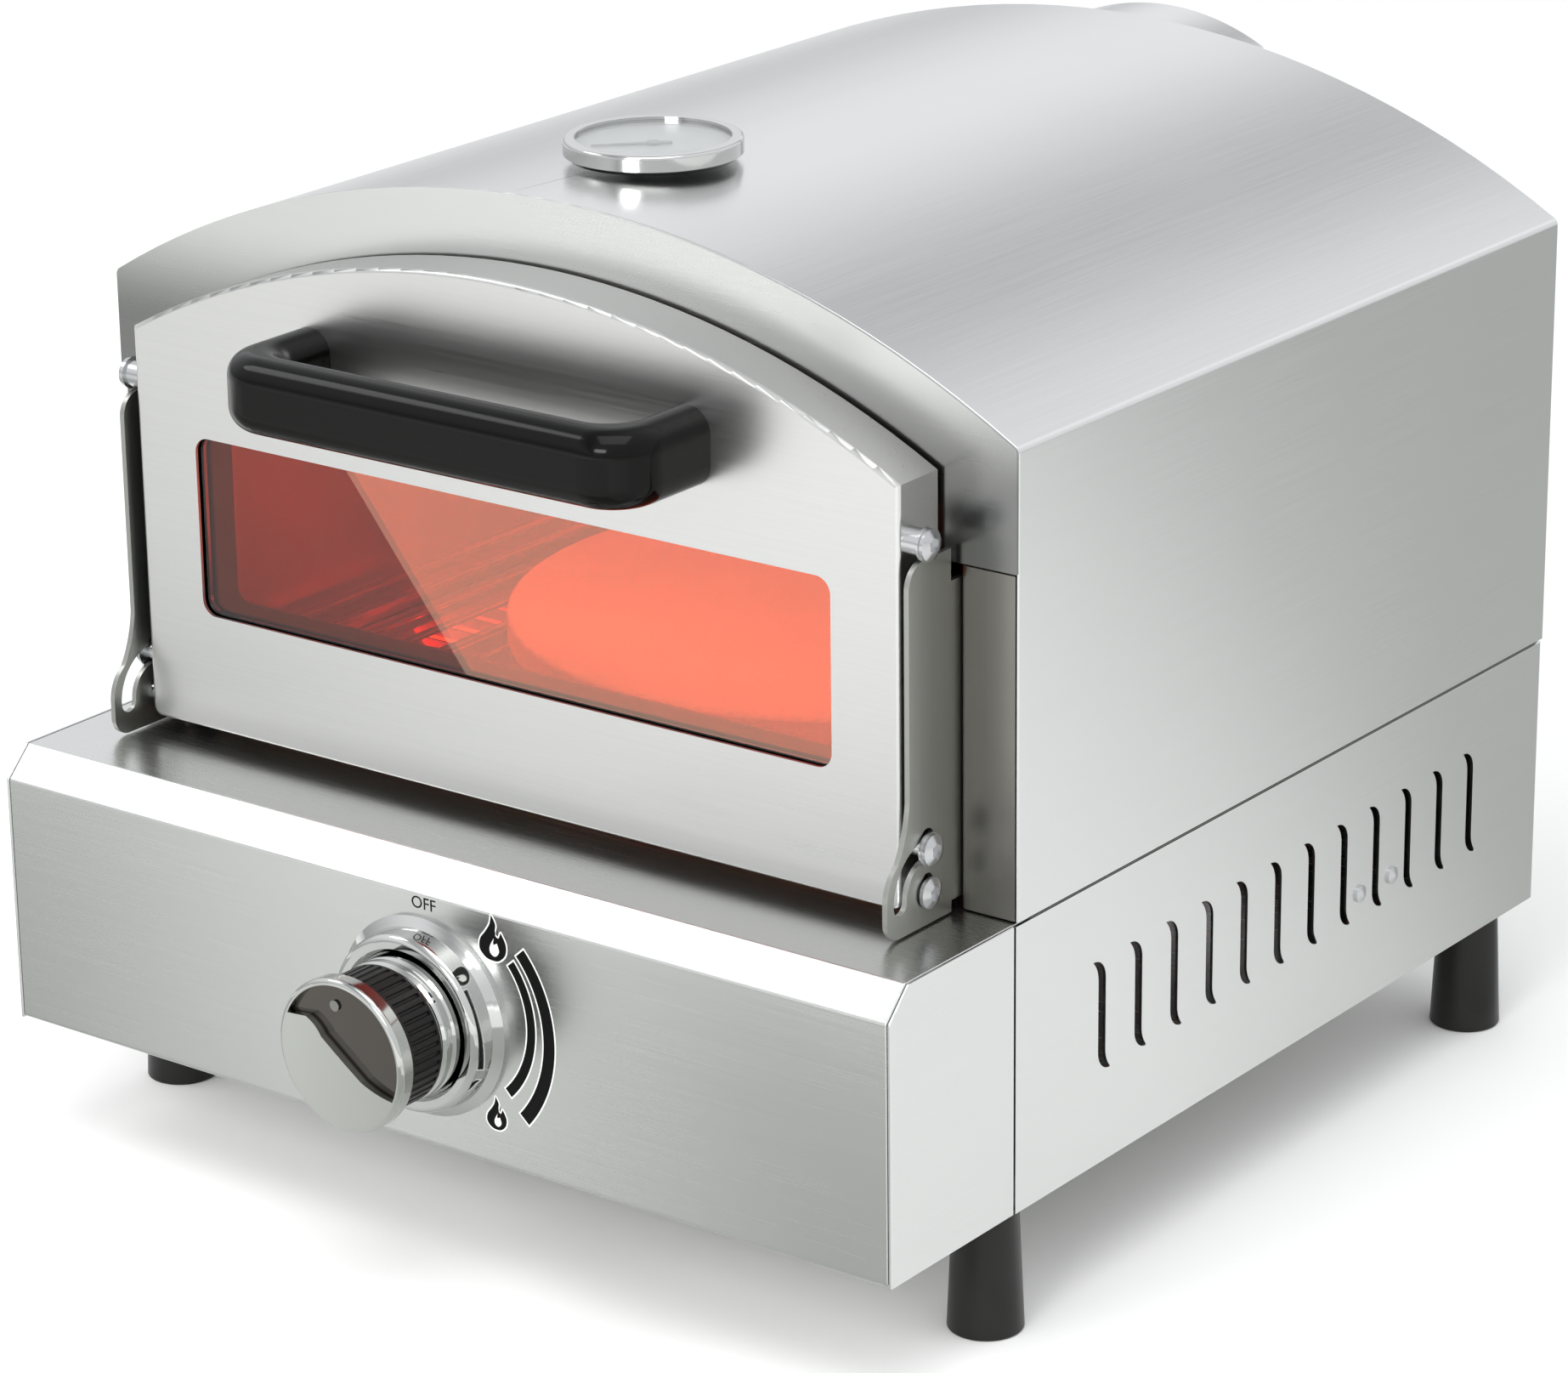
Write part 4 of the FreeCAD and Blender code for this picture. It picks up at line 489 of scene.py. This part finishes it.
# Our own flame, one unit tall: tall tongue, notch, short tongue, round foot.
FLAME = [(-0.02, 1), (0.09, 0.8), (0.06, 0.6), (0.16, 0.52), (0.22, 0.66), (0.35, 0.42),
         (0.33, 0.19), (0.17, 0.03), (0, 0), (-0.19, 0.04), (-0.34, 0.2), (-0.32, 0.42),
         (-0.17, 0.62), (-0.06, 0.8)]
FLAME_TIPS = (0, 4)
CORE = [(0.04, 0.5), (0.02, 0.36), (0.12, 0.4), (0.17, 0.22), (0.06, 0.1), (-0.06, 0.16),
        (-0.07, 0.3)]
CORE_TIPS = (0, 2)


def placed(corners, tips, across, up, size, grow=0.0):
    """An outline scaled to a size in millimetres, centred on a place, and grown by a rim."""
    line = [Vector((across, up)) + size * (point - Vector((0, 0.5)))
            for point in smooth_outline(corners, tips)]
    if not grow:
        return line
    rim = []
    for index, point in enumerate(line):
        along = line[(index + 1) % len(line)] - line[index - 1]
        rim.append(point + grow * Vector((-along.y, along.x)).normalized())
    return rim


INNER_ARC = {"centre": (12.0, 5.6), "radius": 36, "start_width": 3.4, "end_width": 3.8,
             "start": 39.8, "end": -46}
OUTER_ARC = {"centre": (9.4, 2.5), "radius": 46.4, "start_width": 4.6, "end_width": 5.2,
             "start": 42, "end": -42}
for label, arc in (("inner", INNER_ARC), ("outer", OUTER_ARC)):
    mark(f"heat_scale_{label}_edge", arc_band(grow=0.6, **arc), pale_ink, 0.03, band=True)
    mark(f"heat_scale_{label}", arc_band(**arc), black_ink, 0.06, band=True)
for label, across, up, size in (("large", 31.8, 36.4, 17), ("small", 31.2, -29.5, 12.5)):
    mark(f"flame_{label}_edge", placed(FLAME, FLAME_TIPS, across, up, size, grow=0.6),
         pale_ink, 0.04)
    mark(f"flame_{label}", placed(FLAME, FLAME_TIPS, across, up, size), black_ink, 0.07)
    mark(f"flame_{label}_core", placed(CORE, CORE_TIPS, across, up, size), pale_ink, 0.1)

# %% [markdown]
# The word at the top of the scale says that the gas is shut. Blender's own font gives the letters,
# which then become a flat mesh like the other marks.

# %% The word over the knob
def word(name, text, across, up, height):
    """A short word in flat ink, centred over a place in millimetres about the knob."""
    letters = bpy.data.curves.new(name, "FONT")
    letters.body = text
    letters.size = height * 1.4 * MM
    letters.align_x = "CENTER"
    letters.align_y = "CENTER"
    letters.resolution_u = 3
    draft = bpy.data.objects.new(name + "_draft", letters)
    mesh = bpy.data.meshes.new_from_object(draft)
    bpy.data.objects.remove(draft)
    for vertex in mesh.vertices:
        spot = vertex.co.copy()
        vertex.co = Vector((knob_centre.x + across * MM + spot.x, PANEL_Y - 0.06 * MM,
                            knob_centre.z + up * MM + spot.y))
    mesh.materials.clear()
    mesh.materials.append(black_ink)
    mesh.name = name
    piece = bpy.data.objects.new(name, mesh)
    scene.collection.objects.link(piece)
    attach(piece, "oven")
    return piece


word("off_word", "OFF", 1, 41.6, 4.6)

# %% [markdown]
# ## Studio
# The oven stands on a pale floor under soft light. Sheet steel shows what is around it, so the
# room matters more than the lamps: long soft strips run overhead along the oven's depth, and give
# the arched hood its slow light and dark bands. The sky is built from the angle about that axis.

# %% Floor
def pale_floor():
    """A wide matt floor, so that no horizon shows."""
    material, tree = new_material("pale matt floor")
    surface(tree, {"Base Color": linear("F4F4F2"), "Roughness": 0.9, "Specular IOR Level": 0.1})
    bpy.ops.mesh.primitive_plane_add(size=24, location=(0, 0, 0))
    floor = bpy.context.active_object
    floor.name = "floor"
    floor.data.materials.append(material)


pale_floor()

# %% [markdown]
# The sky's brightness follows a soft curve through a few levels, one for each angle overhead.

# %% Sky with long strips
# How bright the sky is at each angle about the oven's depth, from the left horizon to the right.
SKY = ((0, 0.50), (10, 0.75), (22, 1.04), (34, 1.16), (44, 1.10), (53, 0.82), (62, 0.54),
       (70, 0.58), (80, 0.86), (92, 1.12), (120, 1.25), (150, 0.95), (180, 1.0))
SKY_PLAIN = 1.0


def striped_sky():
    """Light that changes with the angle about the oven's depth; the camera sees it plain."""
    world = bpy.data.worlds.new("soft studio")
    scene.world = world
    world.use_nodes = True
    tree = world.node_tree
    tree.nodes.clear()
    way = add(tree, "ShaderNodeSeparateXYZ",
              links={0: add(tree, "ShaderNodeTexCoord").outputs["Generated"]})
    left = add(tree, "ShaderNodeMath", {"operation": "MULTIPLY", 1: -1}, {0: way.outputs["X"]})
    angle = add(tree, "ShaderNodeMath", {"operation": "ARCTAN2"},
                {0: way.outputs["Z"], 1: left.outputs[0]})
    part = add(tree, "ShaderNodeMapRange", {"From Min": 0, "From Max": math.pi},
               {"Value": angle.outputs[0]})
    strips = add(tree, "ShaderNodeValToRGB", links={0: part.outputs[0]})
    strips.color_ramp.interpolation = "B_SPLINE"
    brightest = max(level for _, level in SKY)
    while len(strips.color_ramp.elements) < len(SKY):
        strips.color_ramp.elements.new(0.5)
    for stop, (turn, level) in zip(strips.color_ramp.elements, SKY):
        stop.position = turn / 180
        stop.color = (*[level / brightest] * 3, 1)
    level = add(tree, "ShaderNodeMath", {"operation": "MULTIPLY", 1: brightest},
                {0: strips.outputs[0]})
    seen = add(tree, "ShaderNodeLightPath").outputs["Is Camera Ray"]
    strength = add(tree, "ShaderNodeMix", {3: SKY_PLAIN}, {0: seen, 2: level.outputs[0]})
    glow = add(tree, "ShaderNodeBackground", {"Color": linear("FBFCFF")},
               {"Strength": strength.outputs[0]})
    add(tree, "ShaderNodeOutputWorld", links={"Surface": glow.outputs[0]})


striped_sky()

# %% [markdown]
# Three soft lamps fill in where the sky alone is dim. A fourth lights only the floor in front, and
# so keeps the oven's shadow pale without touching the steel.

# %% Lamps
def soft_lamp(name, place, aim, size, power, colour="FFFFFF"):
    """A rectangular soft lamp that looks at a point and is never in the picture itself."""
    lamp = bpy.data.lights.new(name, "AREA")
    lamp.shape = "RECTANGLE"
    lamp.size, lamp.size_y = size
    lamp.energy = power
    lamp.color = linear(colour)[:3]
    holder = bpy.data.objects.new(name, lamp)
    holder.location = place
    holder.rotation_euler = (Vector(aim) - Vector(place)).to_track_quat("-Z", "Y").to_euler()
    holder.visible_camera = False
    scene.collection.objects.link(holder)
    return holder


soft_lamp("overhead", (0.4, -0.6, 2.4), (0, 0, 0.15), (1.6, 1.6), 15)
soft_lamp("left_high", (-2.0, -1.0, 2.3), (0, -0.1, 0.1), (0.9, 0.9), 10)
soft_lamp("front_fill", (0.5, -2.6, 1.3), (0, -0.4, 0.0), (0.9, 0.6), 18)


def lights_only(lamp, names):
    """Keep a lamp's light to the pieces named."""
    lit = bpy.data.collections.new(lamp.name + "_lights")
    for name in names:
        lit.objects.link(bpy.data.objects[name])
    lamp.light_linking.receiver_collection = lit


lights_only(soft_lamp("floor_fill", (-0.7, -2.2, 1.2), (-0.1, -0.35, 0), (1.2, 1.2), 26),
            ["floor"])


# %% [markdown]
# A bright card lies in front of the window, and only the glass sees it. Its slanting edge splits
# the pane into a clear part and a part with a pale sheen.

# %% Low card in front of the window
WINDOW_CARD_AT = Vector((-0.359, -0.824, 0.004))
WINDOW_CARD_EDGE = (-0.631, -0.776)


def window_card():
    """A bright card on the floor whose slanting edge the window reflects."""
    card = soft_lamp("window_card", WINDOW_CARD_AT, WINDOW_CARD_AT + Vector((0, 0, 1)),
                     (0.7, 0.4), 3.2, "FFD2B2")
    card.rotation_euler = (math.pi, 0, math.atan2(*WINDOW_CARD_EDGE))
    lights_only(card, ["door_glass"])


window_card()

# %% [markdown]
# Grey cards lie on the floor, just out of view, where a shiny side would mirror too much white.
# Their soft reflection gives the sheet a gradient and shows that it is metal. Each card is shaded
# along a slanting line, so the tone on the steel changes along the sheet. Only mirror-like
# reflections see these cards, and they cast no shadow.

# %% Shaded cards
CARD_LIFT = 0.003


def shaded_card(name, low, high, way, stops):
    """A card flat on the floor between two corners, shaded in the direction way."""
    mesh = bpy.data.meshes.new(name)
    mesh.from_pydata([(low[0], low[1], CARD_LIFT), (high[0], low[1], CARD_LIFT),
                      (high[0], high[1], CARD_LIFT), (low[0], high[1], CARD_LIFT)],
                     [], [(0, 1, 2, 3)])
    material, tree = new_material(name + " board")
    place = add(tree, "ShaderNodeTexCoord").outputs["Object"]
    along = add(tree, "ShaderNodeVectorMath", {"operation": "DOT_PRODUCT", 1: (*way, 0)},
                {0: place})
    first, last = stops[0][0], stops[-1][0]
    part = add(tree, "ShaderNodeMapRange", {"From Min": first, "From Max": last},
               {"Value": along.outputs["Value"]})
    shade = add(tree, "ShaderNodeValToRGB", links={0: part.outputs[0]})
    while len(shade.color_ramp.elements) < len(stops):
        shade.color_ramp.elements.new(0.5)
    for element, (spot, colour) in zip(shade.color_ramp.elements, stops):
        element.position = (spot - first) / (last - first)
        element.color = linear(colour)
    surface(tree, {"Roughness": 0.9, "Specular IOR Level": 0.1}, {"Base Color": shade.outputs[0]})
    mesh.materials.append(material)
    card = bpy.data.objects.new(name, mesh)
    scene.collection.objects.link(card)
    card.visible_camera = card.visible_diffuse = card.visible_shadow = False
    card.visible_transmission = False


shaded_card("card_right", (0.21, -0.6), (2.4, 2.4), (-1.03, 1),
            ((-0.22, "F4F4F2"), (-0.08, "DCDDDA"), (0.04, "B8BAB6"), (0.10, "B0B2AE")))
shaded_card("card_front", (-1.1, -0.54), (0.5, -0.2), (1, -0.97),
            ((0.0, "AEB0AC"), (0.13, "D2D3D0"), (0.20, "DEDFDC"), (0.27, "D2D3D0"),
             (0.40, "AEB0AC")))
shaded_card("card_low_front", (-2.2, -1.6), (0.5, -0.54), (1, -0.97),
            ((0.0, "DADBD8"), (0.3, "F4F4F2")))

# %% [markdown]
# Small lamps inside the chamber stand in for the burner's flame. They face the back and light only
# the chamber's own pieces; the stone has a lamp of its own, so that it keeps its tan colour.

# %% Glow of the burner
CHAMBER_PIECES = ["chamber_liner", "chamber_back", "chamber_floor", "flame_guard", "wire_rack",
                  "rack_rail_left", "rack_rail_right", "door_inner", "door_glass"]
glow_low, glow_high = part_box("chamber_liner")
lights_only(soft_lamp("burner_glow", (glow_low.x + 0.03, glow_low.y + 0.08, 0.21),
                      (0.05, glow_high.y, 0.22), (0.05, 0.12), 0.5, "FF3A12"), CHAMBER_PIECES)
lights_only(soft_lamp("chamber_glow", (0.0, glow_low.y + 0.02, 0.29), (0.03, glow_high.y, 0.18),
                      (0.26, 0.04), 0.62, "FF6A3C"), CHAMBER_PIECES)
lights_only(soft_lamp("stone_glow", (0.0, glow_low.y + 0.02, 0.29), (0.03, 0.16, 0.16),
                      (0.26, 0.04), 0.26, "E4F2FF"), ["pizza_stone", "door_glass"])
